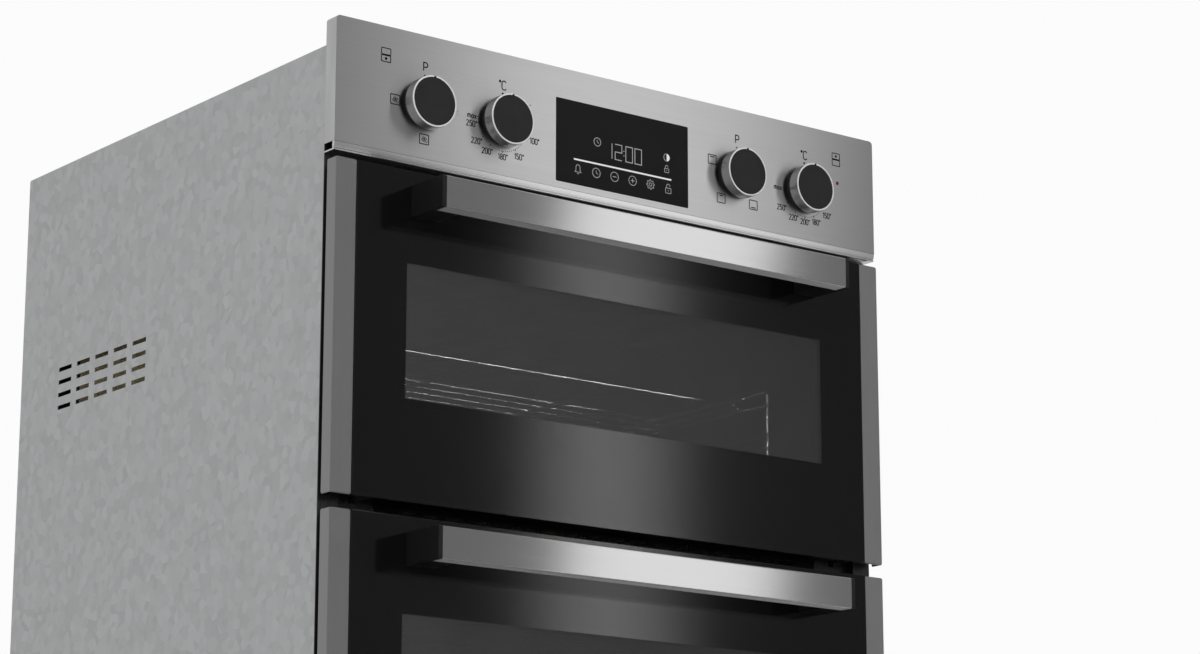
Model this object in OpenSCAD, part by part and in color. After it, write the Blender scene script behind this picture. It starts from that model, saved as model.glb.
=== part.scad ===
// Built-in double wall oven: a small top oven and a main oven below it.
// Millimetres, +Z up, +Y towards the rear, origin under the middle of the whole object.

/* [Overall] */
// Width over the control panel and the doors
overall_w = 594; // [586:1:600]
// Height from the base plate to the top of the control panel
overall_h = 888; // [886:1:892]
// Depth from the control panel face to the rearmost screw heads
body_depth = 565; // [560:1:580]
// Thickness of the casing sheet
sheet = 0.8; // [0.8:0.1:1.4]

/* [Control panel] */
// Height of the control panel pressing
panel_h = 115.2; // [113:0.1:117]
// Depth of the control panel pressing
panel_depth = 15; // [15:0.5:16]
// Height of the turned-in band along the panel's lower edge
panel_band_h = 7.4; // [6:0.1:9]
// Width of the display window
display_w = 140; // [120:1:160]
// Height of the display window
display_h = 68.3; // [60:0.1:70]
// Distance from the panel's top to the display window
display_drop = 30.5; // [28:0.1:32]
// Sideways offset of the controls from the centre line
control_shift = 1.8; // [0:0.1:3]
// Distance from the panel's top to the knob axes
knob_drop = 61.6; // [58:0.1:64]
// Distance from the display's centre to the nearer knob of each pair
knob_inner_x = 130; // [125:0.5:140]
// Distance between the two knobs of a pair
knob_pitch = 80.6; // [70:0.1:84]

/* [Knobs] */
// Outer radius of a knob's steel ring
knob_r = 22.3; // [20:0.1:24]
// How far a knob's face stands out from the panel
knob_reach = 15.5; // [14:0.1:20]
// Depth of the dark collar behind a knob
collar_reach = 4.2; // [3:0.1:5]
// Radius of the dark collar behind a knob
collar_r = 19.4; // [17:0.1:20]

/* [Doors] */
// How far the door faces stand out from the control panel
door_proud = 2.5; // [1:0.1:3]
// Height of the upper door
upper_door_h = 277.8; // [276:0.1:279]
// Gap between the control panel and the upper door
panel_gap = 5.9; // [4:0.1:7]
// Gap between the two doors
door_gap = 11.5; // [9:0.1:12]
// Height of the lower door's bottom edge above the base
lower_door_z = 34; // [33:0.5:36]
// Width of the steel strip down each side of a door
trim_w = 21; // [18:0.5:22]
// Thickness of the door glass
glass_t = 4; // [3.5:0.1:4]

/* [Handles] */
// How far a handle's front stands out from the door glass
handle_reach = 45; // [40:0.5:55]
// Height of the handle bar
handle_h = 27; // [24:0.5:30]
// Depth of the handle bar's section
handle_depth = 14; // [12:0.5:16]
// Half of the steel bar's length
handle_half = 218; // [200:1:225]
// Distance from a door's top edge to its handle's centre line
handle_drop = 26.5; // [22:0.5:30]

/* [Ovens] */
// Inside width of both ovens
cavity_w = 476; // [470:1:478]
// Inside depth of both ovens
cavity_depth = 420; // [415:1:422]
// Inside height of the upper oven
upper_cavity_h = 200; // [196:1:202]
// Inside height of the lower oven
lower_cavity_h = 350; // [346:1:352]
// Radius of the oven wall corners
cavity_corner_r = 14; // [8:1:18]

/* [Hidden] */
$fn = 48;

// Depths below are measured from the control panel's face, towards the rear
face_shift = -(body_depth - door_proud - handle_reach) / 2;
flange_y = 15;
wall_y = 24;
wall_back = wall_y + sheet;
screw_head_h = 2;
rear_y = body_depth - screw_head_h - sheet;
door_y = -door_proud;
glass_back = door_y + glass_t;
door_back = 20;

// Widths
half_w = overall_w / 2;
flange_in = half_w - 20;
casing_half = 278;
casing_in = casing_half - sheet;
cavity_half = cavity_w / 2;
glass_half = half_w - trim_w - 0.3;

// Heights
panel_z = overall_h - panel_h;
casing_h = 876;
upper_door_top = panel_z - panel_gap;
upper_door_z = upper_door_top - upper_door_h;
lower_door_top = upper_door_z - door_gap;
lower_door_h = lower_door_top - lower_door_z;
upper_cavity_z = 528;
upper_cavity_top = upper_cavity_z + upper_cavity_h;
lower_cavity_z = 88;
lower_cavity_top = lower_cavity_z + lower_cavity_h;
control_floor_z = 772;
divider_z = 481;
trim_h = lower_door_z - 6.5;
cavity_back = wall_back + cavity_depth;

// Cabinet screw holes in the side flanges
fixing_x = half_w - 10;
fixing_z = [150, 700];
fixing_r = 2.25;

// Door hinges
hinge_y = 5.5;
hinge_rise = 3.5;
hinge_x = 258;
pin_r = 2;
running_gap = 0.05;
blade_t = 4;
case_gap = 1.2;
case_t = 1.5;

// Knobs: display centre, then the two knobs on each side of it
knob_z = overall_h - knob_drop;
lower_function_x = control_shift - knob_inner_x - knob_pitch;
lower_temperature_x = control_shift - knob_inner_x;
upper_function_x = control_shift + knob_inner_x;
upper_temperature_x = control_shift + knob_inner_x + knob_pitch;
knob_xs = [lower_function_x, lower_temperature_x, upper_function_x, upper_temperature_x];
knob_rim = 1.7;
knob_back = -collar_reach - 0.3;
spindle_r = 3;
carrier_y = 10;
carrier_back = 13;
switch_size = 34;
switch_depth = 24;
board_y = 6;
board_back = 7.6;
board_peg_x = 62;

// Fan of the lower oven
fan_z = lower_cavity_z + lower_cavity_h / 2;
fan_r = 65;
fan_shaft_r = 4;
ring_r = 85;
tube_r = 3.25;
tube_hole_r = 4.2;

// Cooling blower in the control compartment
blower_y = 330;
blower_r = 56;
blower_h = 30;
blower_floor = control_floor_z + sheet;
duct_half = 70;

// Oven lamps, in the rear walls
lamp_x = 190;
lamp_zs = [upper_cavity_top - 38, lower_cavity_top - 45];
lamp_r = 15;

// Side racks and shelves
wire_r = 2;
rack_x = 229.5;
rail_x = 226;
rack_front = 74.5;
rack_rear = 412;
rail_gap = 13;
upper_rails = [560.5, 600, 639.5];
lower_rails = [130, 185, 240, 295, 350];
shelf_side_x = 223;
shelf_wire_r = 2.5;
shelf_lift = wire_r + shelf_wire_r + 0.3;
shelf_front = 112;
shelf_rear = 400;
rod_r = 1.5;
rod_first = 201;
rod_pitch = 20.5;

// Grill loops under the ceiling of the upper oven
loop_pitch = 60;
loop_count = 6;
loop_front = 90;
loop_rear = 400;
grill_z = upper_cavity_top - 18;
base_element_z = upper_cavity_z - 8;

// ---------- helpers ----------

// Moves a shape from panel-face depths into the object's frame
module from_face() {
    translate([0, face_shift, 0]) children();
}

// Extrudes an outline drawn in X and Z along Y
module along_y(y, length) {
    translate([0, y + length, 0])
        rotate([90, 0, 0]) linear_extrude(length) children();
}

// Extrudes an outline drawn in Y and Z along X
module along_x(x, length) {
    translate([x, 0, 0])
        rotate([90, 0, 90]) linear_extrude(length) children();
}

// A block from its lowest corner to its highest corner
module block(low, high) {
    translate(low) cube(high - low);
}

// A block that is the same on both sides of the centre line
module centred_block(half_x, y0, y1, z0, z1) {
    block([-half_x, y0, z0], [half_x, y1, z1]);
}

// The same shape on the right and, mirrored, on the left
module both_sides() {
    children();
    mirror([1, 0, 0]) children();
}

// A rectangle from corner to corner with round corners
module round_rect(x0, y0, x1, y1, r) {
    translate([x0 + r, y0]) square([x1 - x0 - 2 * r, y1 - y0]);
    translate([x0, y0 + r]) square([x1 - x0, y1 - y0 - 2 * r]);
    for (x = [x0 + r, x1 - r], y = [y0 + r, y1 - r]) {
        translate([x, y]) circle(r);
    }
}

// A round bar along X, Y or Z
module bar_x(x0, x1, y, z, r) {
    translate([x0, y, z]) rotate([0, 90, 0]) cylinder(h = x1 - x0, r = r);
}
module bar_y(x, y0, y1, z, r) {
    translate([x, y0, z]) rotate([-90, 0, 0]) cylinder(h = y1 - y0, r = r);
}
module bar_z(x, y, z0, z1, r) {
    translate([x, y, z0]) cylinder(h = z1 - z0, r = r);
}

// A row of upright slots cut through a wall that faces Y
module slot_row(x0, x1, pitch, y0, y1, z0, z1, w) {
    for (x = [x0 : pitch : x1]) {
        block([x - w / 2, y0, z0], [x + w / 2, y1, z1]);
    }
}

// ---------- casing ----------

module base_plate() {
    lip = 14;
    color("silver") from_face() difference() {
        union() {
            centred_block(casing_in, wall_back, rear_y - 2, 0, sheet);
            centred_block(casing_in - 8, rear_y - 2 - sheet, rear_y - 2, sheet, lip);
            centred_block(casing_in - 8, 60, 60 + sheet, sheet, lip);
        }
        for (x = [-200 : 40 : 200]) {
            block([x - 12, 110, -1], [x + 12, 116, sheet + 1]);
            block([x - 12, 500, -1], [x + 12, 506, sheet + 1]);
        }
    }
}

module side_panels() {
    lip = 14;
    vent_rows = [640, 652, 664, 676];
    color("silver") from_face() both_sides() difference() {
        union() {
            block([casing_in, wall_back, 0], [casing_half, rear_y, casing_h]);
            block([casing_in - lip, rear_y - sheet, 20], [casing_in, rear_y, casing_h - 20]);
            block([casing_in - lip, 60, casing_h - sheet], [casing_in, rear_y - 20, casing_h]);
        }
        for (z = vent_rows, y = [330 : 34 : 466]) {
            block([casing_in - 1, y, z], [casing_half + 1, y + 24, z + 4]);
        }
        for (z = rear_screw_zs()) {
            bar_y(rear_screw_x, rear_y - sheet - 1, rear_y + 1, z, screw_hole_r);
        }
        for (y = top_screw_ys()) {
            bar_z(rear_screw_x, y, casing_h - sheet - 1, casing_h + 1, screw_hole_r);
        }
    }
}

module top_cover() {
    color("silver") from_face() difference() {
        union() {
            centred_block(casing_half, wall_back, rear_y, casing_h, casing_h + sheet);
            for (x = [-150, 0, 150]) {
                block([x - 6, 60, casing_h + sheet], [x + 6, 250, casing_h + sheet + 1.5]);
            }
        }
        for (x = [-220 : 20 : 220]) {
            block([x - 3, 470, casing_h - 1], [x + 3, 520, casing_h + sheet + 1]);
        }
        for (side = [-1, 1], y = top_screw_ys()) {
            bar_z(side * rear_screw_x, y, casing_h - 1, casing_h + sheet + 1, screw_hole_r);
        }
    }
}

module rear_panel() {
    color("silver") from_face() difference() {
        centred_block(casing_half, rear_y, rear_y + sheet, 0, casing_h);
        slot_row(-60, 60, 12, rear_y - 1, rear_y + sheet + 1, fan_z - 40, fan_z + 40, 5);
        slot_row(20, 236, 12, rear_y - 1, rear_y + sheet + 1, 800, 840, 5);
        slot_row(-236, 236, 12, rear_y - 1, rear_y + sheet + 1, 40, 70, 5);
        bar_y(gland_x, rear_y - 1, rear_y + sheet + 1, gland_z, gland_r + 0.4);
        for (side = [-1, 1], z = rear_screw_zs()) {
            bar_y(side * rear_screw_x, rear_y - 1, rear_y + sheet + 1, z, screw_hole_r);
        }
    }
}

module front_posts() {
    color("dimgray") from_face() both_sides() difference() {
        linear_extrude(casing_h) union() {
            translate([flange_in, flange_y]) square([half_w - 0.5 - flange_in, sheet]);
            translate([flange_in, flange_y]) square([sheet, wall_back - flange_y]);
            translate([cavity_half, wall_y]) square([flange_in + sheet - cavity_half, sheet]);
        }
        for (z = fixing_z) {
            bar_y(fixing_x, flange_y - 1, flange_y + sheet + 1, z, fixing_r);
        }
        for (z = [lower_door_z, upper_door_z]) {
            block([hinge_x - 3, wall_y - 1, z + hinge_rise - 5],
                [hinge_x + 3, wall_back + 1, z + hinge_rise + 15]);
        }
    }
}

module front_rails() {
    color("dimgray") from_face() {
        centred_block(cavity_half, wall_y, wall_back, upper_cavity_top, control_floor_z);
        difference() {
            centred_block(cavity_half, wall_y, wall_back, lower_cavity_top, upper_cavity_z);
            for (x = [-204 : 24 : 204]) {
                block([x - 9, wall_y - 1, 484], [x + 9, wall_back + 1, 487]);
                block([x - 9, wall_y - 1, 478], [x + 9, wall_back + 1, 481]);
            }
        }
        centred_block(cavity_half, wall_y, wall_back, sheet, lower_cavity_z);
    }
}

module bottom_trim() {
    trim_y = 5;
    color("dimgray") from_face() difference() {
        centred_block(half_w, trim_y, flange_y, 0, trim_h);
        centred_block(half_w - sheet, trim_y + sheet, flange_y + 1, sheet, trim_h - sheet);
        for (z = [7, 13, 19], x = [-240 : 40 : 240]) {
            block([x - 15, trim_y - 1, z], [x + 15, trim_y + sheet + 1, z + 3]);
        }
    }
}

module divider_tray() {
    lip = 10;
    color("silver") from_face() difference() {
        union() {
            centred_block(casing_in, wall_back, rear_y - 4, divider_z, divider_z + sheet);
            both_sides() block([casing_in - sheet, wall_back, divider_z + sheet],
                [casing_in, rear_y - 20, divider_z + lip]);
        }
        for (x = [-200 : 40 : 200]) {
            block([x - 12, 500, divider_z - 1], [x + 12, 530, divider_z + sheet + 1]);
        }
    }
}

module control_floor() {
    lip = 10;
    color("silver") from_face() difference() {
        union() {
            centred_block(casing_in, wall_back, rear_y - 4, control_floor_z, blower_floor);
            both_sides() block([casing_in - sheet, wall_back, blower_floor],
                [casing_in, rear_y - 20, control_floor_z + lip]);
        }
        bar_z(0, blower_y, control_floor_z - 1, blower_floor + 1, blower_r - 18);
    }
}

// Screws that hold the rear panel and the top cover
rear_screw_x = casing_in - 8;
screw_r = 1.9;
screw_hole_r = 2.1;
function rear_screw_zs() = [60, 280, 500, 720, 840];
function top_screw_ys() = [90, 300, 500];

module casing_screws() {
    head_r = 3.8;
    grip = 5;
    color("gainsboro") from_face() for (side = [-1, 1]) {
        for (z = rear_screw_zs()) {
            bar_y(side * rear_screw_x, rear_y + sheet, body_depth, z, head_r);
            bar_y(side * rear_screw_x, rear_y - grip, rear_y + sheet, z, screw_r);
        }
        for (y = top_screw_ys()) {
            bar_z(side * rear_screw_x, y, casing_h + sheet, casing_h + sheet + screw_head_h, head_r);
            bar_z(side * rear_screw_x, y, casing_h - grip, casing_h + sheet, screw_r);
        }
    }
}

// ---------- oven cavities ----------

// A square-fronted oven liner with round corners, open at the front
module liner(z0, h) {
    difference() {
        along_y(wall_back, cavity_depth + sheet)
            round_rect(-cavity_half - sheet, z0 - sheet, cavity_half + sheet, z0 + h + sheet,
                cavity_corner_r + sheet);
        along_y(wall_back - 1, cavity_depth + 1)
            round_rect(-cavity_half, z0, cavity_half, z0 + h, cavity_corner_r);
    }
}

module upper_cavity() {
    color("#3a3b3f") from_face() difference() {
        liner(upper_cavity_z, upper_cavity_h);
        bar_y(lamp_x, cavity_back - 1, cavity_back + sheet + 1, lamp_zs[0], lamp_r + 0.5);
        for (side = [-1, 1]) {
            bar_y(side * loop_end_x(), cavity_back - 1, cavity_back + sheet + 1, grill_z,
                tube_hole_r);
        }
    }
}

module lower_cavity() {
    color("#3a3b3f") from_face() difference() {
        liner(lower_cavity_z, lower_cavity_h);
        bar_y(lamp_x, cavity_back - 1, cavity_back + sheet + 1, lamp_zs[1], lamp_r + 0.5);
        bar_y(0, cavity_back - 1, cavity_back + sheet + 1, fan_z, 8);
        for (side = [-1, 1]) {
            bar_y(side * ring_end_x(), cavity_back - 1, cavity_back + sheet + 1, ring_end_z(),
                tube_hole_r);
        }
    }
}

// Mineral wool round one oven liner, with room left under its floor
module blanket(z0, h, floor_room) {
    wool = 26;
    fit = 0.8;
    pocket_half = cavity_half + sheet + fit;
    wool_back = cavity_back + sheet + fit;
    difference() {
        centred_block(pocket_half + wool, 45, wool_back + wool,
            z0 - sheet - floor_room - wool + 8, z0 + h + sheet + fit + wool);
        centred_block(pocket_half, 44, wool_back, z0 - sheet - floor_room, z0 + h + sheet + fit);
    }
}

module insulation_blankets() {
    back = cavity_back + 40;
    color("khaki") from_face() {
        difference() {
            blanket(upper_cavity_z, upper_cavity_h, 14);
            bar_y(lamp_x, cavity_back - 1, back, lamp_zs[0], lamp_r + 3);
            for (side = [-1, 1]) {
                bar_y(side * loop_end_x(), cavity_back - 1, back, grill_z, tube_hole_r + 2);
                bar_y(side * loop_end_x(), cavity_back - 1, back, base_element_z, tube_hole_r + 2);
            }
        }
        difference() {
            blanket(lower_cavity_z, lower_cavity_h, 0.8);
            bar_y(lamp_x, cavity_back - 1, back, lamp_zs[1], lamp_r + 3);
            bar_y(0, cavity_back - 1, back, fan_z, 14);
            for (side = [-1, 1]) {
                bar_y(side * ring_end_x(), cavity_back - 1, back, ring_end_z(), tube_hole_r + 2);
            }
        }
    }
}

// A flat ring of seal round one oven mouth
module seal(z0, h) {
    inset = 3;
    w = 8;
    along_y(door_back + 0.3, wall_y - door_back - 0.3) difference() {
        round_rect(-cavity_half - inset - w, z0 - inset - w,
            cavity_half + inset + w, z0 + h + inset + w, cavity_corner_r + w);
        round_rect(-cavity_half - inset, z0 - inset,
            cavity_half + inset, z0 + h + inset, cavity_corner_r);
    }
}

module door_gaskets() {
    color("#2b2b2b") from_face() {
        seal(upper_cavity_z, upper_cavity_h);
        seal(lower_cavity_z, lower_cavity_h);
    }
}

// One wire side rack: uprights, pairs of rails and four stubs to the oven wall
module side_rack(rails) {
    low = rails[0] - 8;
    high = rails[len(rails) - 1] + rail_gap + 2.5;
    for (y = [rack_front, rack_rear]) {
        bar_z(rack_x, y, low, high, wire_r);
        for (z = [low + 3, high - 6]) {
            bar_x(rack_x, cavity_half, y, z, wire_r);
        }
    }
    for (rail = rails, z = [rail, rail + rail_gap]) {
        bar_y(rail_x, rack_front - 3, rack_rear + 3, z, wire_r);
    }
}

module upper_side_racks() {
    color("gainsboro") from_face() both_sides() side_rack(upper_rails);
}

module lower_side_racks() {
    color("gainsboro") from_face() both_sides() side_rack(lower_rails);
}

// A wire shelf that lies on a pair of rails
module shelf(rail_z) {
    z = rail_z + shelf_lift;
    rod_last = shelf_rear - 12;
    both_sides() {
        bar_y(shelf_side_x, shelf_front, shelf_rear, z, shelf_wire_r);
        for (y = [shelf_front, shelf_rear]) {
            translate([shelf_side_x, y, z]) sphere(shelf_wire_r);
        }
        bar_y(75, shelf_front, shelf_rear, z - 3, rod_r + 0.5);
    }
    for (y = [shelf_front, shelf_rear]) {
        bar_x(-shelf_side_x, shelf_side_x, y, z, shelf_wire_r);
    }
    for (y = [rod_first : rod_pitch : rod_last]) {
        bar_x(-shelf_side_x, shelf_side_x, y, z, rod_r);
    }
}

module upper_shelf() {
    color("gainsboro") from_face() shelf(upper_rails[2]);
}

module lower_shelf() {
    color("gainsboro") from_face() shelf(lower_rails[2]);
}

// ---------- heating elements, fan and lamps ----------

function loop_end_x() = (loop_count - 1) * loop_pitch / 2;

// Round tube bent to and fro in a level plane, its two ends run out to the rear
module tube_loops(z, y0, y1, end_y) {
    for (i = [0 : loop_count - 1]) {
        x = (i - (loop_count - 1) / 2) * loop_pitch;
        is_end = i == 0 || i == loop_count - 1;
        bar_y(x, y0, is_end ? end_y : y1, z, tube_r);
    }
    for (i = [0 : 2 : loop_count - 2]) {
        translate([(i - (loop_count - 2) / 2) * loop_pitch, y0, z])
            rotate([0, 0, 180]) rotate_extrude(angle = 180)
                translate([loop_pitch / 2, 0]) circle(tube_r);
    }
    for (i = [1 : 2 : loop_count - 3]) {
        translate([(i - (loop_count - 2) / 2) * loop_pitch, y1, z])
            rotate_extrude(angle = 180) translate([loop_pitch / 2, 0]) circle(tube_r);
    }
}

module upper_grill_element() {
    color("dimgray") from_face() tube_loops(grill_z, loop_front, loop_rear, cavity_back + 28);
}

module upper_base_element() {
    color("dimgray") from_face()
        tube_loops(base_element_z, loop_front, loop_rear, cavity_back + 28);
}

// The ring element's gap is at its foot, where its ends turn to the rear
ring_gap = 24;
function ring_end_x() = ring_r * sin(ring_gap / 2);
function ring_end_z() = fan_z - ring_r * cos(ring_gap / 2);

module lower_ring_element() {
    ring_y = cavity_back - 17;
    sleeve_r = tube_r + 0.45;
    color("dimgray") from_face() {
        translate([0, ring_y, fan_z]) rotate([90, 0, 0])
            rotate([0, 0, -90 + ring_gap / 2]) rotate_extrude(angle = 360 - ring_gap)
                translate([ring_r, 0]) circle(tube_r);
        for (side = [-1, 1]) {
            bar_y(side * ring_end_x(), ring_y - sleeve_r, cavity_back + 24, ring_end_z(), sleeve_r);
        }
    }
}

module lower_fan_cover() {
    half = 125;
    front = cavity_back - 41;
    skirt = 15;
    foot_r = 4;
    foot_at = half - 12;
    hole_r = 3;
    ring_step = 13;
    color("#3a3b3f") from_face() {
        difference() {
            along_y(front, skirt) round_rect(-half, fan_z - half, half, fan_z + half, 16);
            along_y(front + sheet, skirt) round_rect(-half + sheet, fan_z - half + sheet,
                half - sheet, fan_z + half - sheet, 15);
            bar_y(0, front - 1, front + sheet + 1, fan_z, hole_r);
            for (ring = [1 : 4], i = [0 : ring * 6 - 1]) {
                turn = i * 60 / ring;
                bar_y(ring * ring_step * cos(turn), front - 1, front + sheet + 1,
                    fan_z + ring * ring_step * sin(turn), hole_r);
            }
        }
        for (x = [-foot_at, foot_at], z = [fan_z - foot_at, fan_z + foot_at]) {
            bar_y(x, front + sheet - 0.2, cavity_back, z, foot_r);
        }
    }
}

module fan_impeller() {
    blade_count = 12;
    plate_y = cavity_back - 9;
    blade_l = 18;
    color("gray") from_face() translate([0, 0, fan_z]) {
        bar_y(0, plate_y, plate_y + sheet, 0, fan_r);
        bar_y(0, plate_y - blade_l - 2, plate_y + sheet, 0, 11);
        bar_y(0, plate_y - blade_l - 2, cavity_back + 66, 0, fan_shaft_r - running_gap);
        for (i = [0 : blade_count - 1]) {
            rotate([0, i * 360 / blade_count, 0])
                block([26, plate_y - blade_l, -0.6], [fan_r - 1, plate_y + 0.2, 0.6]);
        }
    }
}

module fan_motor() {
    motor_y = cavity_back + 32;
    color("gray") from_face() difference() {
        union() {
            bar_y(0, motor_y, motor_y + 38, fan_z, 34);
            centred_block(55, motor_y - 2, motor_y + 0.2, fan_z - 16, fan_z + 16);
            centred_block(30, motor_y + 6, motor_y + 30, fan_z - 46, fan_z - 25);
        }
        bar_y(0, motor_y - 3, motor_y + 36, fan_z, fan_shaft_r);
    }
}

// Snail housing round the cooling blower wheel, open to a duct at the front
module blower_housing() {
    wall = 1.2;
    room = 6;
    h = blower_h + 8;
    front = wall_back + 14;
    color("lightgray") from_face() difference() {
        translate([0, 0, blower_floor]) linear_extrude(h) union() {
            translate([0, blower_y]) circle(blower_r + room + wall);
            translate([-duct_half - wall, front])
                square([2 * (duct_half + wall), blower_y - front]);
        }
        translate([0, 0, blower_floor - 1]) linear_extrude(h + 1 - wall) union() {
            translate([0, blower_y]) circle(blower_r + room);
            translate([-duct_half, front - 1]) square([2 * duct_half, blower_y - front - 10]);
        }
        bar_z(0, blower_y, blower_floor + h - wall - 1, blower_floor + h + 1, 12);
    }
}

module blower_impeller() {
    blade_count = 18;
    z0 = blower_floor + 3;
    color("dimgray") from_face() translate([0, blower_y, z0]) {
        cylinder(h = blower_h, r = 9);
        translate([0, 0, blower_h - sheet]) cylinder(h = sheet, r = blower_r);
        cylinder(h = blower_h + 30, r = 3 - running_gap);
        for (i = [0 : blade_count - 1]) {
            rotate([0, 0, i * 360 / blade_count])
                block([40, -0.6, 0], [blower_r - 0.5, 0.6, blower_h - sheet + 0.2]);
        }
    }
}

module blower_motor() {
    z0 = blower_floor + blower_h + 8;
    color("gray") from_face() difference() {
        union() {
            bar_z(0, blower_y, z0, z0 + 30, 26);
            translate([-40, blower_y - 9, z0]) cube([80, 18, 3]);
        }
        bar_z(0, blower_y, z0 - 1, z0 + 28, 3);
    }
}

module lamp_sockets() {
    color("ivory") from_face() for (z = lamp_zs) {
        bar_y(lamp_x, cavity_back - 2, cavity_back + 34, z, lamp_r);
        bar_y(lamp_x, cavity_back - 10, cavity_back - 2, z, 6);
    }
}

module lamp_lenses() {
    lens_r = lamp_r + 5;
    lens_l = 14;
    color("white", 0.5) from_face() for (z = lamp_zs) {
        difference() {
            bar_y(lamp_x, cavity_back - lens_l, cavity_back, z, lens_r);
            bar_y(lamp_x, cavity_back - lens_l + 2, cavity_back + 1, z, lens_r - 2);
        }
    }
}

// ---------- electrical parts ----------

gland_x = -190;
gland_z = 826;
gland_r = 12;
gland_bore_r = 6;

module terminal_box() {
    gland_l = 14;
    color("#222222") from_face() difference() {
        union() {
            block([gland_x - 40, rear_y - 62, gland_z - 26], [gland_x + 40, rear_y - 2, gland_z + 26]);
            bar_y(gland_x, rear_y - 3, rear_y + sheet, gland_z, gland_r);
        }
        block([gland_x - 37, rear_y - 59, gland_z - 23],
            [gland_x + 37, rear_y + sheet - gland_l, gland_z + 27]);
        bar_y(gland_x, rear_y - 30, rear_y + sheet + 1, gland_z, gland_bore_r);
    }
}

module power_board() {
    board_z = 796;
    color("darkgreen") from_face() {
        block([110, 120, board_z], [240, 300, board_z + 1.6]);
        block([125, 140, board_z + 1.6], [165, 175, board_z + 30]);
        for (y = [190 : 24 : 262]) {
            block([180, y, board_z + 1.6], [208, y + 14, board_z + 18]);
        }
        for (x = [118, 232], y = [128, 292]) {
            bar_z(x, y, blower_floor, board_z, 3);
        }
    }
}

// ---------- control panel ----------

// Section of the panel pressing: flat face, then a band that turns in at the foot
module panel_section(inset) {
    edge_r = 2;
    top = overall_h - inset;
    foot = panel_z + inset;
    knee = panel_z + panel_band_h;
    translate([inset, knee]) square([panel_depth + 1 - inset, top - edge_r - knee]);
    translate([inset + edge_r, knee]) square([panel_depth + 1 - inset - edge_r, top - knee]);
    translate([inset + edge_r, top - edge_r]) circle(edge_r);
    polygon([[inset, knee + 0.01], [inset + 0.5, knee - 3], [inset + 1.6, foot],
        [panel_depth + 1, foot], [panel_depth + 1, knee + 0.01]]);
}

module control_fascia() {
    fit = 0.3;
    color("#a8a8a8") from_face() difference() {
        intersection() {
            along_x(-half_w, overall_w) panel_section(0);
            centred_block(half_w + 1, -1, panel_depth, 0, overall_h + 1);
        }
        along_x(-half_w + sheet, overall_w - 2 * sheet) panel_section(sheet);
        along_y(-1, sheet + 3)
            round_rect(control_shift - display_w / 2 - fit, display_z0() - fit,
                control_shift + display_w / 2 + fit, display_z0() + display_h + fit, 1);
        for (x = knob_xs) {
            bar_y(x, -1, sheet + 1, knob_z, 9);
        }
    }
}

function display_z0() = overall_h - display_drop - display_h;

module fascia_carrier() {
    half = half_w - 8;
    rib = 2;
    color("#222222") from_face() difference() {
        union() {
            centred_block(half, carrier_y, carrier_back, panel_z + 8, overall_h - 6);
            for (x = [-half, half - rib]) {
                block([x, sheet + 0.2, panel_z + 12], [x + rib, carrier_y, overall_h - 6]);
            }
            centred_block(half, sheet + 1.2, carrier_y, overall_h - 6 - rib, overall_h - 6);
        }
        block([control_shift - display_w / 2 - 4, carrier_y - 1, display_z0() - 3],
            [control_shift + display_w / 2 + 4, carrier_back + 1, display_z0() + display_h + 3]);
        for (x = knob_xs) {
            bar_y(x, carrier_y - 1, carrier_back + 1, knob_z, 7);
        }
    }
    color("#222222") from_face() for (side = [-1, 1]) {
        x = control_shift + side * board_peg_x;
        block([x - 5, board_back, display_z0() - 5], [x + 5, carrier_back, display_z0() + 14]);
        bar_y(x, board_y - 0.5, board_back + 1, display_z0() + 8, 1.5);
    }
}

// The display pane: flush in its opening, with a lip behind the panel sheet
module display_glass() {
    lip = 3;
    color("#1f1f1f") from_face() {
        along_y(-0.2, 3) display_outline(0);
        along_y(sheet, 2.8 - sheet) display_outline(lip);
    }
}

// The display window's outline, grown by a margin
module display_outline(margin) {
    round_rect(control_shift - display_w / 2 - margin, display_z0() - margin,
        control_shift + display_w / 2 + margin, display_z0() + display_h + margin, 0.8);
}

module display_board() {
    color("darkgreen") from_face() difference() {
        union() {
            block([control_shift - display_w / 2, board_y, display_z0() + 2],
                [control_shift + display_w / 2, board_back, display_z0() + display_h - 2]);
            block([control_shift - 30, board_back, display_z0() + 10],
                [control_shift + 50, 18, display_z0() + 40]);
        }
        for (side = [-1, 1]) {
            bar_y(control_shift + side * board_peg_x, board_y - 1, board_back + 1,
                display_z0() + 8, 1.6);
        }
    }
}

module knob_collars() {
    color("#181818") from_face() for (x = knob_xs) {
        difference() {
            bar_y(x, -collar_reach, 0, knob_z, collar_r);
            bar_y(x, -collar_reach - 1, 1, knob_z, 6);
        }
    }
}

module rotary_switches() {
    half = switch_size / 2;
    bush_r = 6;
    color("#e8e4d8") from_face() for (x = knob_xs) {
        difference() {
            union() {
                block([x - half, carrier_back, knob_z - half],
                    [x + half, carrier_back + switch_depth, knob_z + half]);
                bar_y(x, carrier_y, carrier_back + 0.2, knob_z, bush_r);
                block([x - 10, carrier_back + switch_depth, knob_z - 12],
                    [x + 10, carrier_back + switch_depth + 8, knob_z + 12]);
            }
            bar_y(x, carrier_y - 1, carrier_back + 18, knob_z, spindle_r + running_gap);
        }
    }
}

// Steel ring of a knob, with a pointer notch at the top
module knob_ring(x) {
    inner_r = knob_r - knob_rim;
    color("#b8b8b8") from_face() difference() {
        union() {
            bar_y(x, -knob_reach + 0.6, knob_back, knob_z, knob_r);
            translate([x, -knob_reach, knob_z]) rotate([-90, 0, 0])
                cylinder(h = 0.6, r1 = knob_r - 0.6, r2 = knob_r);
        }
        bar_y(x, -knob_reach - 1, knob_back + 1, knob_z, inner_r + running_gap);
        block([x - 0.9, -knob_reach - 1, knob_z + inner_r - 1],
            [x + 0.9, -knob_reach + 4.5, knob_z + knob_r + 1]);
    }
}

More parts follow.
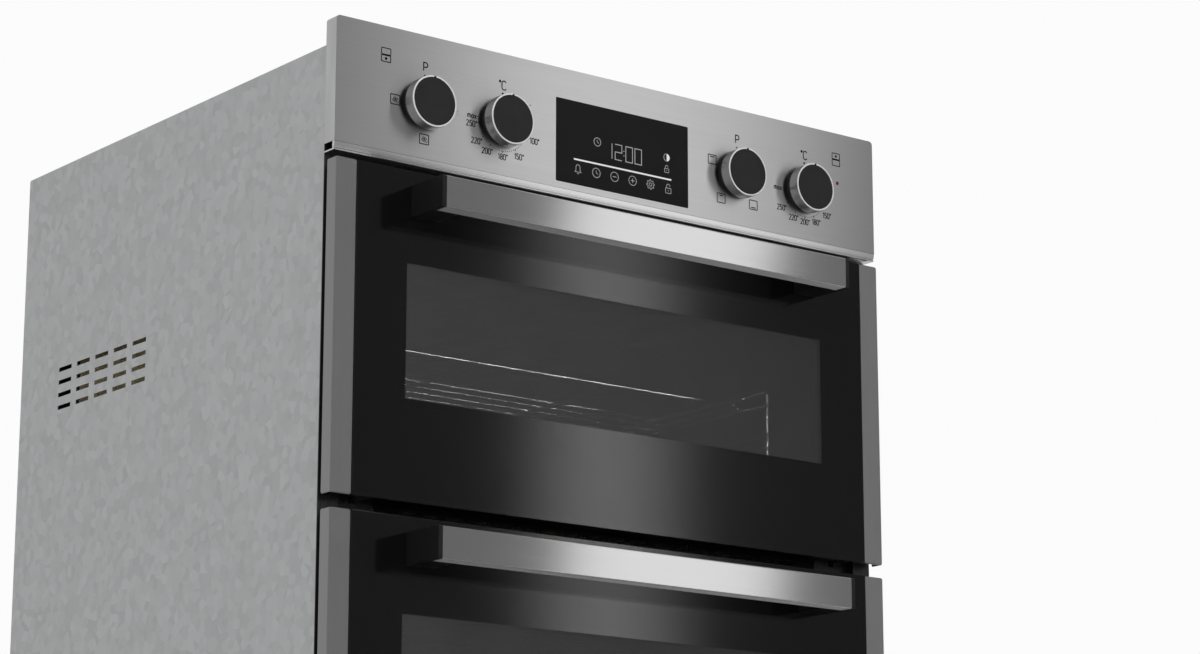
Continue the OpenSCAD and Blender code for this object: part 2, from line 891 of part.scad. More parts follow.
// Black core of a knob, with the spindle that turns the switch
module knob_cap(x) {
    inner_r = knob_r - knob_rim;
    color("#2a2a2a") from_face() {
        bar_y(x, -knob_reach + 0.4, knob_back, knob_z, inner_r);
        bar_y(x, knob_back - 0.5, carrier_back + 16, knob_z, spindle_r);
    }
}

module lower_function_knob_ring() { knob_ring(lower_function_x); }
module lower_function_knob_cap() { knob_cap(lower_function_x); }
module lower_temperature_knob_ring() { knob_ring(lower_temperature_x); }
module lower_temperature_knob_cap() { knob_cap(lower_temperature_x); }
module upper_function_knob_ring() { knob_ring(upper_function_x); }
module upper_function_knob_cap() { knob_cap(upper_function_x); }
module upper_temperature_knob_ring() { knob_ring(upper_temperature_x); }
module upper_temperature_knob_cap() { knob_cap(upper_temperature_x); }

// ---------- doors ----------

module outer_glass(z0, h) {
    color("#151515", 0.85) from_face()
        centred_block(glass_half, door_y, glass_back, z0, z0 + h);
}

module inner_glass(z0, h) {
    color("#303030", 0.6) from_face()
        centred_block(249, door_back - glass_t, door_back, z0 + 19, z0 + h - 19);
}

// Folded steel strips down both sides of a door
module door_trims(z0, h) {
    strip_depth = 13;
    color("#8c8c8c") from_face() both_sides() along_z_section(z0, h) difference() {
        round_rect(half_w - trim_w, door_y, half_w, door_y + strip_depth, 1.2);
        translate([half_w - trim_w - 1, door_y + sheet])
            square([trim_w + 1 - sheet, strip_depth + 1]);
    }
}

// Extrudes an outline drawn in X and Y upwards
module along_z_section(z0, h) {
    translate([0, 0, z0]) linear_extrude(h) children();
}

// Head rail, foot rail and two uprights between the two panes
module door_frame(z0, h) {
    depth0 = glass_back;
    pane_y = door_back - glass_t;
    head = 18;
    upright_x = 266;
    color("#1a1a1a") from_face() {
        difference() {
            centred_block(glass_half, depth0, door_back, z0 + h - head, z0 + h - 1);
            for (x = [-240 : 24 : 240]) {
                block([x - 8, door_back - 8, z0 + h - 8], [x + 8, door_back - 3, z0 + h]);
            }
        }
        centred_block(249, depth0, door_back, z0 + 1, z0 + head);
        both_sides() {
            block([upright_x, depth0, z0 + 12], [glass_half, door_back, z0 + h - head]);
            block([240, depth0, z0 + head], [249, pane_y, z0 + h - head]);
        }
    }
}

// Section of the handle bar: a gently crowned front with round corners
module handle_section(y, z) {
    crown_r = 30;
    corner_r = 4;
    intersection() {
        translate([y + crown_r, z]) circle(crown_r, $fn = 96);
        round_rect(y, z - handle_h / 2, y + handle_depth + corner_r, z + handle_h / 2, corner_r);
        translate([y - 1, z - handle_h]) square([handle_depth + 1, 2 * handle_h]);
    }
}

module handle_bar(z0, h) {
    wall = 1.5;
    front = door_y - handle_reach;
    z = z0 + h - handle_drop;
    color("#c8c8c8") from_face() difference() {
        along_x(-handle_half, 2 * handle_half) handle_section(front, z);
        along_x(-handle_half - 1, 2 * handle_half + 2)
            translate([0, z - handle_h / 2 + wall]) intersection() {
                translate([front + wall, 0]) square([handle_depth + 2, handle_h - 2 * wall]);
                translate([front + wall + 28, handle_h / 2 - wall]) circle(28, $fn = 96);
            }
    }
}

// End blocks that carry the bar, each with a cap as large as the bar's section
module handle_brackets(z0, h) {
    cap = 4;
    block_w = 22;
    fit = 0.1;
    wall = 1.5;
    front = door_y - handle_reach;
    z = z0 + h - handle_drop;
    inside = handle_h / 2 - wall - fit;
    color("#161616") from_face() both_sides() {
        along_x(handle_half, cap) handle_section(front, z);
        along_x(handle_half, cap)
            translate([front + handle_depth - 0.5, z - handle_h / 2])
                square([handle_reach - handle_depth + 0.5, handle_h]);
        block([handle_half - block_w, front + handle_depth + fit, z - handle_h / 2],
            [handle_half + 0.2, door_y, z + handle_h / 2]);
        block([handle_half - block_w, front + 5, z - inside],
            [handle_half + 0.2, front + handle_depth + fit + 0.2, z + inside]);
    }
}

// The hinge arms stay on the casing; the doors turn about the bores in their noses
module hinge_blades() {
    blade_end = wall_back + 18;
    color("gray") from_face() for (z0 = [lower_door_z, upper_door_z]) {
        z = z0 + hinge_rise;
        both_sides() along_x(hinge_x - blade_t / 2, blade_t) difference() {
            union() {
                translate([hinge_y, z]) circle(3.5);
                polygon([[hinge_y, z - 3.2], [blade_end, z - 3.2], [blade_end, z + 13],
                    [wall_back - 4, z + 13], [hinge_y + 3, z + 2]]);
            }
            translate([hinge_y, z]) circle(pin_r + running_gap);
        }
    }
}

// Hinge cases in the door: two cheeks, a web and the pin
module hinge_cases(z0) {
    z = z0 + hinge_rise;
    inner = blade_t / 2 + case_gap;
    outer = inner + case_t;
    top = z + 105;
    web_y = glass_back + 0.3;
    color("gray") from_face() both_sides() {
        for (x = [hinge_x - outer, hinge_x + inner]) {
            block([x, web_y, z - 3], [x + case_t, 17, top]);
        }
        block([hinge_x - inner - 0.2, web_y, z + 12], [hinge_x + inner + 0.2, web_y + case_t, top]);
        bar_x(hinge_x - outer + 0.5, hinge_x + outer - 0.5, hinge_y, z, pin_r);
    }
}

module upper_outer_glass() { outer_glass(upper_door_z, upper_door_h); }
module upper_inner_glass() { inner_glass(upper_door_z, upper_door_h); }
module upper_door_trims() { door_trims(upper_door_z, upper_door_h); }
module upper_door_frame() { door_frame(upper_door_z, upper_door_h); }
module upper_handle_bar() { handle_bar(upper_door_z, upper_door_h); }
module upper_handle_brackets() { handle_brackets(upper_door_z, upper_door_h); }
module upper_hinge_cases() { hinge_cases(upper_door_z); }
module lower_outer_glass() { outer_glass(lower_door_z, lower_door_h); }
module lower_inner_glass() { inner_glass(lower_door_z, lower_door_h); }
module lower_door_trims() { door_trims(lower_door_z, lower_door_h); }
module lower_door_frame() { door_frame(lower_door_z, lower_door_h); }
module lower_handle_bar() { handle_bar(lower_door_z, lower_door_h); }
module lower_handle_brackets() { handle_brackets(lower_door_z, lower_door_h); }
module lower_hinge_cases() { hinge_cases(lower_door_z); }

base_plate();
side_panels();
top_cover();
rear_panel();
front_posts();
front_rails();
bottom_trim();
divider_tray();
control_floor();
upper_cavity();
lower_cavity();
insulation_blankets();
door_gaskets();
upper_side_racks();
lower_side_racks();
upper_grill_element();
upper_base_element();
lower_ring_element();
lower_fan_cover();
fan_motor();
blower_housing();
blower_motor();
lamp_sockets();
lamp_lenses();
terminal_box();
power_board();
control_fascia();
fascia_carrier();
display_glass();
display_board();
knob_collars();
rotary_switches();
casing_screws();
hinge_blades();
fan_impeller();
blower_impeller();
lower_function_knob_ring();
lower_function_knob_cap();
lower_temperature_knob_ring();
lower_temperature_knob_cap();
upper_function_knob_ring();
upper_function_knob_cap();
upper_temperature_knob_ring();
upper_temperature_knob_cap();
upper_outer_glass();
upper_inner_glass();
upper_door_trims();
upper_door_frame();
upper_handle_bar();
upper_handle_brackets();
upper_hinge_cases();
lower_outer_glass();
lower_inner_glass();
lower_door_trims();
lower_door_frame();
lower_handle_bar();
lower_handle_brackets();
lower_hinge_cases();
upper_shelf();
lower_shelf();
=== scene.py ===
"""Looks of a built-in double wall oven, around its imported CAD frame. Metres, +Z up, front towards -Y."""
from math import atan2, cos, hypot, pi, radians, sin

import bmesh
import bpy
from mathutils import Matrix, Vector


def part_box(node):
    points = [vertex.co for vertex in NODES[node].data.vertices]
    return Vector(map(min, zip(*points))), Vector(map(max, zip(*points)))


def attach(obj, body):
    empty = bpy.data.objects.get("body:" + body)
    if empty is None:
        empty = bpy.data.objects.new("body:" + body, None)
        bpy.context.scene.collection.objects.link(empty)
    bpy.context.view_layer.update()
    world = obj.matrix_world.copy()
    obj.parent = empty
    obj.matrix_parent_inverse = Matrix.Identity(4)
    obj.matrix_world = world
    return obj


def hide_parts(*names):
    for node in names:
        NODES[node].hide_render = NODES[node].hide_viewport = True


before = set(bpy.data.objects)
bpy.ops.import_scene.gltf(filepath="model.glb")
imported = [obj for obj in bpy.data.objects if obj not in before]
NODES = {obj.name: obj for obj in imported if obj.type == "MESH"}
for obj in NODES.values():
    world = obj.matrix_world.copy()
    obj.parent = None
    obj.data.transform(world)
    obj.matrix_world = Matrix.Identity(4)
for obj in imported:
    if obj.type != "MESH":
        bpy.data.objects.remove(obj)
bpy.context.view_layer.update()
MM = 0.001


# ---- places taken from the frame ----

def middle(node):
    """The middle of a node's box."""
    low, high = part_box(node)
    return (low + high) / 2


PANEL_LOW, PANEL_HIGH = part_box("control_fascia")
FACE = PANEL_LOW.y
PANEL_TOP = PANEL_HIGH.z
KNOBS = ["lower_function", "lower_temperature", "upper_function", "upper_temperature"]
DOORS = ["upper", "lower"]


# ---- materials ----

class Material:
    """A node material that starts with a Principled shader."""

    def __init__(self, name, colour, roughness, metallic=0.0, **sockets):
        self.material = bpy.data.materials.new(name)
        self.material.use_nodes = True
        self.tree = self.material.node_tree
        self.shader = self.tree.nodes["Principled BSDF"]
        self.set("Base Color", (*colour, 1.0))
        self.set("Roughness", roughness)
        self.set("Metallic", metallic)
        for socket, value in sockets.items():
            self.set(socket.replace("_", " "), value)
        self.colour = colour
        self.roughness = roughness

    def set(self, socket, value):
        self.shader.inputs[socket].default_value = value

    def add(self, kind, **settings):
        made = self.tree.nodes.new(kind)
        for name, value in settings.items():
            setattr(made, name, value)
        return made

    def link(self, source, target):
        self.tree.links.new(source, target)

    def place(self, scale):
        """Object coordinates, scaled."""
        coords = self.add("ShaderNodeTexCoord")
        mapping = self.add("ShaderNodeMapping")
        mapping.inputs["Scale"].default_value = scale
        self.link(coords.outputs["Object"], mapping.inputs["Vector"])
        return mapping.outputs["Vector"]

    def noise(self, scale, detail=3.0, roughness=0.55):
        texture = self.add("ShaderNodeTexNoise")
        texture.inputs["Scale"].default_value = 1.0
        texture.inputs["Detail"].default_value = detail
        texture.inputs["Roughness"].default_value = roughness
        self.link(self.place(scale), texture.inputs["Vector"])
        return texture.outputs["Fac"]

    def spread(self, fac, low, high, at=(0.3, 0.7)):
        """Maps a texture's middle range onto low to high."""
        ranged = self.add("ShaderNodeMapRange")
        for socket, value in zip(("From Min", "From Max", "To Min", "To Max"), (*at, low, high)):
            ranged.inputs[socket].default_value = value
        self.link(fac, ranged.inputs["Value"])
        return ranged.outputs["Result"]

    def tint(self, fac, amount):
        """Varies the base colour by a share either way."""
        self.tones(fac, [c * (1 - amount) for c in self.colour],
                   [min(1.0, c * (1 + amount)) for c in self.colour])

    def tones(self, fac, dark, light, at=(0.3, 0.7)):
        """Blends the base colour between two tones."""
        mix = self.add("ShaderNodeMix", data_type="RGBA")
        for socket in mix.inputs:
            if socket.type == "RGBA" and socket.name in "AB":
                socket.default_value = (*(dark if socket.name == "A" else light), 1.0)
        self.link(self.spread(fac, 0.0, 1.0, at), mix.inputs["Factor"])
        result = [s for s in mix.outputs if s.type == "RGBA"][0]
        self.link(result, self.shader.inputs["Base Color"])

    def vary_roughness(self, fac, amount, at=(0.3, 0.7)):
        self.link(self.spread(fac, max(0.0, self.roughness - amount), self.roughness + amount, at),
                  self.shader.inputs["Roughness"])

    def bump(self, fac, depth, strength=1.0):
        node = self.add("ShaderNodeBump")
        node.inputs["Strength"].default_value = strength
        node.inputs["Distance"].default_value = depth
        self.link(fac, node.inputs["Height"])
        self.link(node.outputs["Normal"], self.shader.inputs["Normal"])


def grey(value, warmth=0.0):
    return (value * (1 + warmth), value, value * (1 - warmth))


def brushed_steel(name, tone, roughness, grain_axis, anisotropy, streak=0.03, metallic=1.0, depth=3e-6):
    """Steel brushed along one axis: its gloss is blurred across the grain."""
    along, across = 7.0, 2200.0
    m = Material(name, grey(tone), roughness, metallic=metallic, Anisotropic=anisotropy)
    tangent = m.add("ShaderNodeTangent", direction_type="RADIAL", axis=grain_axis)
    m.link(tangent.outputs["Tangent"], m.shader.inputs["Tangent"])
    grain = [along if axis == grain_axis else across for axis in "XYZ"]
    fine = m.noise(grain, detail=2.0)
    m.tint(fine, streak)
    m.vary_roughness(m.noise([g * 0.5 for g in grain]), 0.02)
    m.bump(fine, depth)
    return m.material


def gloss(name, tone, roughness, **sockets):
    """A smooth pane with faint wipe marks in its gloss."""
    m = Material(name, grey(tone), roughness, **sockets)
    m.vary_roughness(m.noise((6, 6, 9), detail=5.0), roughness * 0.08)
    m.tint(m.noise((25, 25, 25)), 0.04)
    return m.material


def plastic(name, colour, roughness, grain=2600.0, depth=3e-5, **sockets):
    """Moulded plastic with a fine spark-eroded grain."""
    m = Material(name, colour, roughness, **sockets)
    texture = m.noise((grain,) * 3, detail=2.0)
    m.tint(m.noise((60, 60, 60)), 0.08)
    m.vary_roughness(texture, 0.06)
    m.bump(texture, depth, 0.35)
    return m.material


def galvanised(name):
    """Zinc-coated sheet with its frost-like spangle."""
    m = Material(name, grey(0.56, -0.01), 0.46, metallic=0.75)
    cells = m.add("ShaderNodeTexVoronoi", feature="F1")
    cells.inputs["Scale"].default_value = 1.0
    m.link(m.place((120, 120, 120)), cells.inputs["Vector"])
    split = m.add("ShaderNodeSeparateColor")
    m.link(cells.outputs["Color"], split.inputs["Color"])
    m.tones(split.outputs["Red"], grey(0.51, -0.01), grey(0.59, -0.01), (0.0, 1.0))
    m.vary_roughness(split.outputs["Green"], 0.05, (0.0, 1.0))
    m.bump(m.noise((40, 40, 40)), 0.00005, 0.3)
    return m.material


def enamel(name, tone, fleck, shine=1.0):
    """Fired enamel with pale flecks and an orange-peel surface."""
    m = Material(name, grey(tone, -0.02), 0.28, Coat_Weight=0.3 * shine, Coat_Roughness=0.12,
                 Specular_IOR_Level=0.5 * shine)
    flecks = m.add("ShaderNodeTexVoronoi", feature="F1")
    flecks.inputs["Scale"].default_value = 1.0
    m.link(m.place((420, 420, 420)), flecks.inputs["Vector"])
    m.tones(flecks.outputs["Distance"], grey(fleck), grey(tone, -0.02), (0.10, 0.22))
    m.vary_roughness(m.noise((14, 14, 14)), 0.06)
    m.bump(m.noise((230, 230, 230), detail=1.0), 0.00012, 0.25)
    return m.material


def metal(name, colour, roughness, scale=300.0, amount=0.1, metallic=1.0, depth=1e-5):
    """Plain drawn or cast metal with a slightly uneven tone."""
    m = Material(name, colour, roughness, metallic=metallic)
    m.tint(m.noise((scale,) * 3, detail=4.0), amount)
    m.vary_roughness(m.noise((scale * 0.3,) * 3), 0.08)
    m.bump(m.noise((scale * 6,) * 3), depth, 0.3)
    return m.material


def wool(name):
    """Yellowish mineral wool: matted fibres."""
    m = Material(name, (0.55, 0.47, 0.24), 0.95, Sheen_Weight=0.3)
    fibres = m.noise((300, 90, 90), detail=8.0, roughness=0.8)
    m.tones(fibres, (0.30, 0.24, 0.10), (0.72, 0.64, 0.38))
    m.bump(fibres, 0.002, 0.8)
    return m.material


def board(name):
    """Green circuit board lacquer with paler tracks."""
    m = Material(name, (0.02, 0.13, 0.05), 0.35, Coat_Weight=0.4)
    tracks = m.add("ShaderNodeTexBrick")
    tracks.inputs["Scale"].default_value = 1.0
    m.link(m.place((90, 90, 90)), tracks.inputs["Vector"])
    m.tones(tracks.outputs["Fac"], (0.015, 0.10, 0.04), (0.05, 0.24, 0.10), (0.0, 1.0))
    m.vary_roughness(m.noise((200, 200, 200)), 0.08)
    return m.material


def lit(name, tone, strength):
    """Back-lit print on the display."""
    m = Material(name, grey(tone), 0.5, Emission_Strength=strength)
    m.set("Emission Color", (*grey(1.0), 1.0))
    m.tint(m.noise((400, 400, 400)), 0.05)
    return m.material


def make_materials():
    """Every material by the name that this script uses for it."""
    return {
        "fascia": brushed_steel("brushed_fascia_steel", 0.64, 0.30, "X", 0.93),
        # The band's steel is lighter than the panel's: a painted highlight for the light its roll catches.
        "band": brushed_steel("folded_band_steel_painted_highlight", 0.84, 0.28, "X", 0.93, streak=0.01, depth=1e-6),
        "trim": brushed_steel("brushed_trim_steel", 0.34, 0.38, "Z", 0.6),
        "handle": brushed_steel("handle_steel", 0.62, 0.18, "X", 1.0, streak=0.015, metallic=0.94),
        "handle_return": brushed_steel("handle_return_steel", 0.60, 0.55, "X", 1.0, streak=0.02,
                                       metallic=0.9),
        "knob_ring": brushed_steel("knob_ring_steel", 0.44, 0.30, "Y", 0.3, streak=0.01, depth=0.0),
        # The knob rim is near white and nearly matt on a steel ring: a painted highlight.
        "knob_rim": metal("knob_rim_steel", grey(0.90), 0.45, scale=400.0, amount=0.02, metallic=0.10),
        "black_glass": gloss("printed_black_glass", 0.0035, 0.105, Specular_IOR_Level=0.5),
        "window": gloss("window_glass", 0.061, 0.22, Specular_IOR_Level=0.1, Alpha=0.60),
        "inner_glass": gloss("inner_pane_glass", 0.03, 0.05, Specular_IOR_Level=0.1, Alpha=0.10),
        "lens": gloss("lamp_lens_glass", 0.8, 0.12, Alpha=0.55),
        "display": gloss("display_glass", 0.0165, 0.55, Specular_IOR_Level=0.08),
        "black": plastic("black_moulding", grey(0.010), 0.42, Specular_IOR_Level=0.35),
        "bracket": plastic("handle_bracket_plastic", grey(0.009), 0.38, Specular_IOR_Level=0.3),
        "knob": plastic("knob_black_plastic", grey(0.030), 0.60, Specular_IOR_Level=0.15),
        "switch": plastic("switch_cream_plastic", (0.74, 0.70, 0.60), 0.5),
        "rubber": plastic("gasket_rubber", grey(0.02), 0.8, grain=900.0),
        "ceramic": plastic("socket_ceramic", (0.80, 0.77, 0.70), 0.6, grain=700.0),
        "galvanised": galvanised("galvanised_sheet"),
        "enamel_black": enamel("black_frame_enamel", 0.012, 0.03),
        # The rails' enamel is darker and duller than the posts' black enamel: painted shade for the dark gaps
        # where they show.
        "rail_painted_shade": enamel("black_rail_enamel_painted_shade", 0.003, 0.006, shine=0.15),
        "enamel_grey": enamel("grey_cavity_enamel", 0.045, 0.30),
        "wire": metal("chrome_wire", grey(0.72), 0.16, scale=120.0, amount=0.05, depth=5e-7),
        "element": metal("element_sheath", (0.07, 0.058, 0.05), 0.70, scale=200.0, amount=0.25, metallic=0.2),
        "spring_steel": metal("hinge_steel", grey(0.38), 0.36),
        "motor": metal("motor_steel", grey(0.30), 0.40),
        "aluminium": metal("fan_aluminium", grey(0.62), 0.33, scale=150.0),
        "zinc": metal("zinc_screw", (0.60, 0.60, 0.54), 0.34),
        "wool": wool("mineral_wool"),
        "board": board("circuit_board"),
        "ink": plastic("dark_print", grey(0.006), 0.8, grain=1500.0, Specular_IOR_Level=0.05),
        "glyph": lit("display_symbol", 0.30, 0.16),
        "glyph_bright": lit("display_line", 0.45, 0.42),
        "led": plastic("led_lens", (0.19, 0.006, 0.02), 0.25, grain=900.0, depth=1e-5),
    }


# ---- mesh helpers ----

def arc(cx, cy, rx, ry, start, end, steps):
    """Points along an ellipse's arc, with angles in degrees."""
    points = []
    for i in range(steps + 1):
        a = radians(start + (end - start) * i / steps)
        points.append((cx + rx * cos(a), cy + ry * sin(a)))
    return points


def round_rect(x0, z0, x1, z1, r, steps):
    """A rectangle's outline with round corners, anticlockwise."""
    outline = []
    corners = (x1 - r, z0 + r, -90), (x1 - r, z1 - r, 0), (x0 + r, z1 - r, 90), (x0 + r, z0 + r, 180)
    for cx, cz, start in corners:
        outline += arc(cx, cz, r, r, start, start + 90, steps)
    return outline


def rect(a0, b0, a1, b1):
    """A rectangle's outline with sharp corners, anticlockwise."""
    return [(a0, b0), (a1, b0), (a1, b1), (a0, b1)]


def add_object(name, data):
    made = bpy.data.objects.new(name, data)
    bpy.context.scene.collection.objects.link(made)
    return made


def new_object(name, bm, material, smooth_angle=35):
    """Turns a bmesh into an object with smooth faces and sharp corners."""
    bmesh.ops.remove_doubles(bm, verts=bm.verts, dist=1e-7)
    bmesh.ops.recalc_face_normals(bm, faces=bm.faces)
    mesh = bpy.data.meshes.new(name)
    bm.to_mesh(mesh)
    bm.free()
    mesh.materials.append(material)
    for polygon in mesh.polygons:
        polygon.use_smooth = True
    mesh.set_sharp_from_angle(angle=radians(smooth_angle))
    return add_object(name, mesh)


AXES = {"x": (1, 2, 0), "y": (0, 2, 1), "z": (0, 1, 2)}
# How far a solid that cuts or joins a piece runs past the piece's faces
PAST = 1 * MM


def prism(bm, outline, axis, low, high):
    """Adds a closed prism: an outline in the two other axes, run from low to high along one axis."""
    first, second, along = AXES[axis]
    rings = []
    for at in (low, high):
        ring = []
        for a, b in outline:
            corner = [0.0, 0.0, 0.0]
            corner[first], corner[second], corner[along] = a, b, at
            ring.append(bm.verts.new(corner))
        rings.append(ring)
    near, far = rings
    for i in range(len(outline)):
        j = (i + 1) % len(outline)
        bm.faces.new((near[i], near[j], far[j], far[i]))
    bm.faces.new(near)
    bm.faces.new(far)


def revolve(bm, profile, centre, steps, closed=True):
    """Adds a profile of (radius, y) pairs turned about the Y axis through centre.

    A closed profile makes a ring, and an open one a disc with two flat ends.
    """
    rings = []
    for radius, y in profile:
        ring = []
        for i in range(steps):
            a = 2 * pi * i / steps
            ring.append(bm.verts.new((centre.x + radius * cos(a), y, centre.z + radius * sin(a))))
        rings.append(ring)
    pairs = list(zip(rings, rings[1:] + rings[:1])) if closed else list(zip(rings, rings[1:]))
    for a, b in pairs:
        for i in range(steps):
            j = (i + 1) % steps
            bm.faces.new((a[i], a[j], b[j], b[i]))
    if not closed:
        bm.faces.new(rings[0])
        bm.faces.new(rings[-1])


def sharpen(piece, angle):
    """Shades edges as sharp from an angle in degrees."""
    piece.data.set_sharp_from_angle(angle=radians(angle))


def apply_modifiers(piece):
    """Bakes a piece's modifiers into its mesh."""
    graph = bpy.context.evaluated_depsgraph_get()
    mesh = bpy.data.meshes.new_from_object(piece.evaluated_get(graph))
    piece.modifiers.clear()
    piece.data = mesh


def combine(piece, other, operation):
    """Joins another solid to a piece, or cuts it out of the piece, and removes it."""
    boolean = piece.modifiers.new("shape", "BOOLEAN")
    boolean.operation = operation
    boolean.object = other
    boolean.solver = "EXACT"
    bpy.context.view_layer.update()
    apply_modifiers(piece)
    bpy.data.objects.remove(other)


def soften(piece, width, segments, angle=40):
    """Rounds a piece's sharp edges."""
    bevel = piece.modifiers.new("edges", "BEVEL")
    bevel.width = width
    bevel.segments = segments
    bevel.limit_method = "ANGLE"
    bevel.angle_limit = radians(angle)
    bpy.context.view_layer.update()
    apply_modifiers(piece)
    for polygon in piece.data.polygons:
        polygon.use_smooth = True
    sharpen(piece, 38)


def flatten(piece):
    """Shades large faces that look along an axis as flat, so rounded edges stay narrow."""
    smallest = 20e-6
    for polygon in piece.data.polygons:
        if polygon.area > smallest and max(abs(c) for c in polygon.normal) > 0.9999:
            polygon.use_smooth = False


def solid(name, outline, axis, low, high, material):
    """One closed prism as an object."""
    bm = bmesh.new()
    prism(bm, outline, axis, low, high)
    return new_object(name, bm, material)


# ---- print and symbols ----

PRINT_LINE = 0.82 * MM
PRINT_BOLD = 1.05 * MM
TICK_LINE = 0.7 * MM
FINE_LINE = 0.5 * MM
SYMBOL_LINE = 0.55 * MM
DEGREE_TEXT = 4.9 * MM
ADVANCE = {"m": 0.82, "a": 0.62, "x": 0.5, "*": 0.3, "C": 0.7, "P": 0.62, "1": 0.46}
OTHER_ADVANCE = 0.66


def glyph_strokes():
    """Strokes of each character in a cell one unit high, as (points, closed)."""
    return {
        "0": [(round_rect(0.0, 0.0, 0.46, 1.0, 0.2, 4), True)],
        "1": [([(0.04, 0.8), (0.22, 1.0), (0.22, 0.0)], False)],
        "2": [(arc(0.23, 0.77, 0.22, 0.23, 165, -25, 8) + [(0.0, 0.0), (0.46, 0.0)], False)],
        "5": [([(0.44, 1.0), (0.07, 1.0), (0.04, 0.58)] + arc(0.21, 0.31, 0.24, 0.3, 110, -150, 9), False)],
        "8": [(arc(0.23, 0.76, 0.19, 0.24, 0, 330, 11), True),
              (arc(0.23, 0.26, 0.23, 0.26, 0, 330, 11), True)],
        "P": [([(0.0, 0.0), (0.0, 1.0)] + arc(0.3, 0.72, 0.26, 0.28, 90, -90, 8) + [(0.06, 0.44)], False)],
        "C": [(arc(0.33, 0.72, 0.28, 0.28, 25, 180, 7) + arc(0.33, 0.28, 0.28, 0.28, 180, 335, 7), False)],
        "m": [([(0.0, 0.0), (0.0, 0.62)], False),
              (arc(0.15, 0.46, 0.15, 0.18, 180, 0, 5) + [(0.30, 0.0)], False),
              (arc(0.45, 0.46, 0.15, 0.18, 180, 0, 5) + [(0.60, 0.0)], False)],
        "a": [(arc(0.2, 0.3, 0.19, 0.3, 20, 340, 9), False), ([(0.4, 0.62), (0.4, 0.0)], False)],
        "x": [([(0.0, 0.62), (0.38, 0.0)], False), ([(0.38, 0.62), (0.0, 0.0)], False)],
        "*": [(arc(0.1, 0.9, 0.085, 0.1, 0, 330, 7), True)],
    }


class Print:
    """Thin raised lines and dots in one mesh, between two levels along Y. Their points are in X and Z."""

    def __init__(self, front, back):
        self.bm = bmesh.new()
        self.levels = front, back
        self.strokes = glyph_strokes()

    def line(self, points, width, closed=False):
        """A line that follows points, mitred at its corners."""
        count = len(points)
        flat = [Vector(p) for p in points]
        left, right = [], []
        for i in range(count):
            before = flat[(i - 1) % count] if closed or i > 0 else None
            after = flat[(i + 1) % count] if closed or i < count - 1 else None
            spans = (before, flat[i]), (flat[i], after)
            ways = [(b - a).normalized() for a, b in spans if a is not None and b is not None]
            way = sum(ways, Vector((0, 0))).normalized()
            normal = Vector((-way.y, way.x))
            stretch = 1 / max(0.5, abs(normal.dot(Vector((-ways[0].y, ways[0].x)))))
            left.append(flat[i] + normal * (width / 2) * stretch)
            right.append(flat[i] - normal * (width / 2) * stretch)
        corner, add = self.bm.verts.new, self.bm.faces.new
        rows = [[[corner((p.x, y, p.y)) for p in side] for side in (left, right)] for y in self.levels]
        for i in range(count if closed else count - 1):
            j = (i + 1) % count
            for row in rows:
                add((row[0][i], row[0][j], row[1][j], row[1][i]))
            for side in (0, 1):
                add((rows[0][side][i], rows[0][side][j], rows[1][side][j], rows[1][side][i]))
        if not closed:
            for i in (0, count - 1):
                add((rows[0][0][i], rows[0][1][i], rows[1][1][i], rows[1][0][i]))

    def fill(self, outline):
        """A raised flat shape."""
        prism(self.bm, outline, "y", *self.levels)

    def dot(self, centre, radius, steps=14):
        self.fill(arc(*centre, radius, radius, 0, 360 - 360 / steps, steps - 1))

    def ring(self, centre, radius, width, steps=24):
        self.line(arc(*centre, radius, radius, 0, 360 - 360 / steps, steps - 1), width, True)

    def write(self, text, centre, height, width):
        """Characters as thin lines, centred on a point."""
        total = sum(ADVANCE.get(c, OTHER_ADVANCE) for c in text) - 0.18
        pen = centre[0] - total * height / 2
        for character in text:
            for points, closed in self.strokes[character]:
                moved = [(pen + x * height, centre[1] + (z - 0.5) * height) for x, z in points]
                self.line(moved, width, closed)
            pen += ADVANCE.get(character, OTHER_ADVANCE) * height


def on_panel(x, drop):
    """A place on the panel, in mm across from its middle and down from its top."""
    return x * MM, PANEL_TOP - drop * MM


def round_knob(centre, radius, turn):
    """A place round a knob, at a radius in mm and an angle clockwise from the top."""
    a = radians(turn)
    return centre.x + radius * MM * sin(a), centre.z + radius * MM * cos(a)


def oven_symbol(layer, centre, size, kind):
    """A square oven symbol with a heating bar, a fan or a dot inside."""
    (x, z), (w, h) = centre, size
    x0, x1, z0, z1 = x - w / 2, x + w / 2, z - h / 2, z + h / 2
    layer.line(round_rect(x0, z0, x1, z1, 0.5 * MM, 2), PRINT_LINE, True)
    bar, level, inset = 0.95 * MM, 1.7 * MM, 1.9 * MM
    if kind in ("top", "grill"):
        reach = w / 2 - inset if kind == "top" else w / 5
        layer.line([(x - reach, z1 - level), (x + reach, z1 - level)], bar)
    if kind == "bottom":
        layer.line([(x0 + inset, z0 + level), (x1 - inset, z0 + level)], bar)
    if kind == "fan":
        thin, hub = 0.45 * MM, 1.4 * MM
        for turn in range(0, 360, 90):
            a = radians(turn + 20)
            bx, bz = x + hub * cos(a), z + hub * sin(a)
            layer.line(arc(bx, bz, 1.3 * MM, 0.75 * MM, turn, turn + 324, 9), thin, True)
        layer.line([(x1 - 3.0 * MM, z0 + 0.9 * MM), (x1 - 0.9 * MM, z0 + 3.0 * MM)], thin)
    if kind == "dot":
        layer.dot(centre, 1.25 * MM)


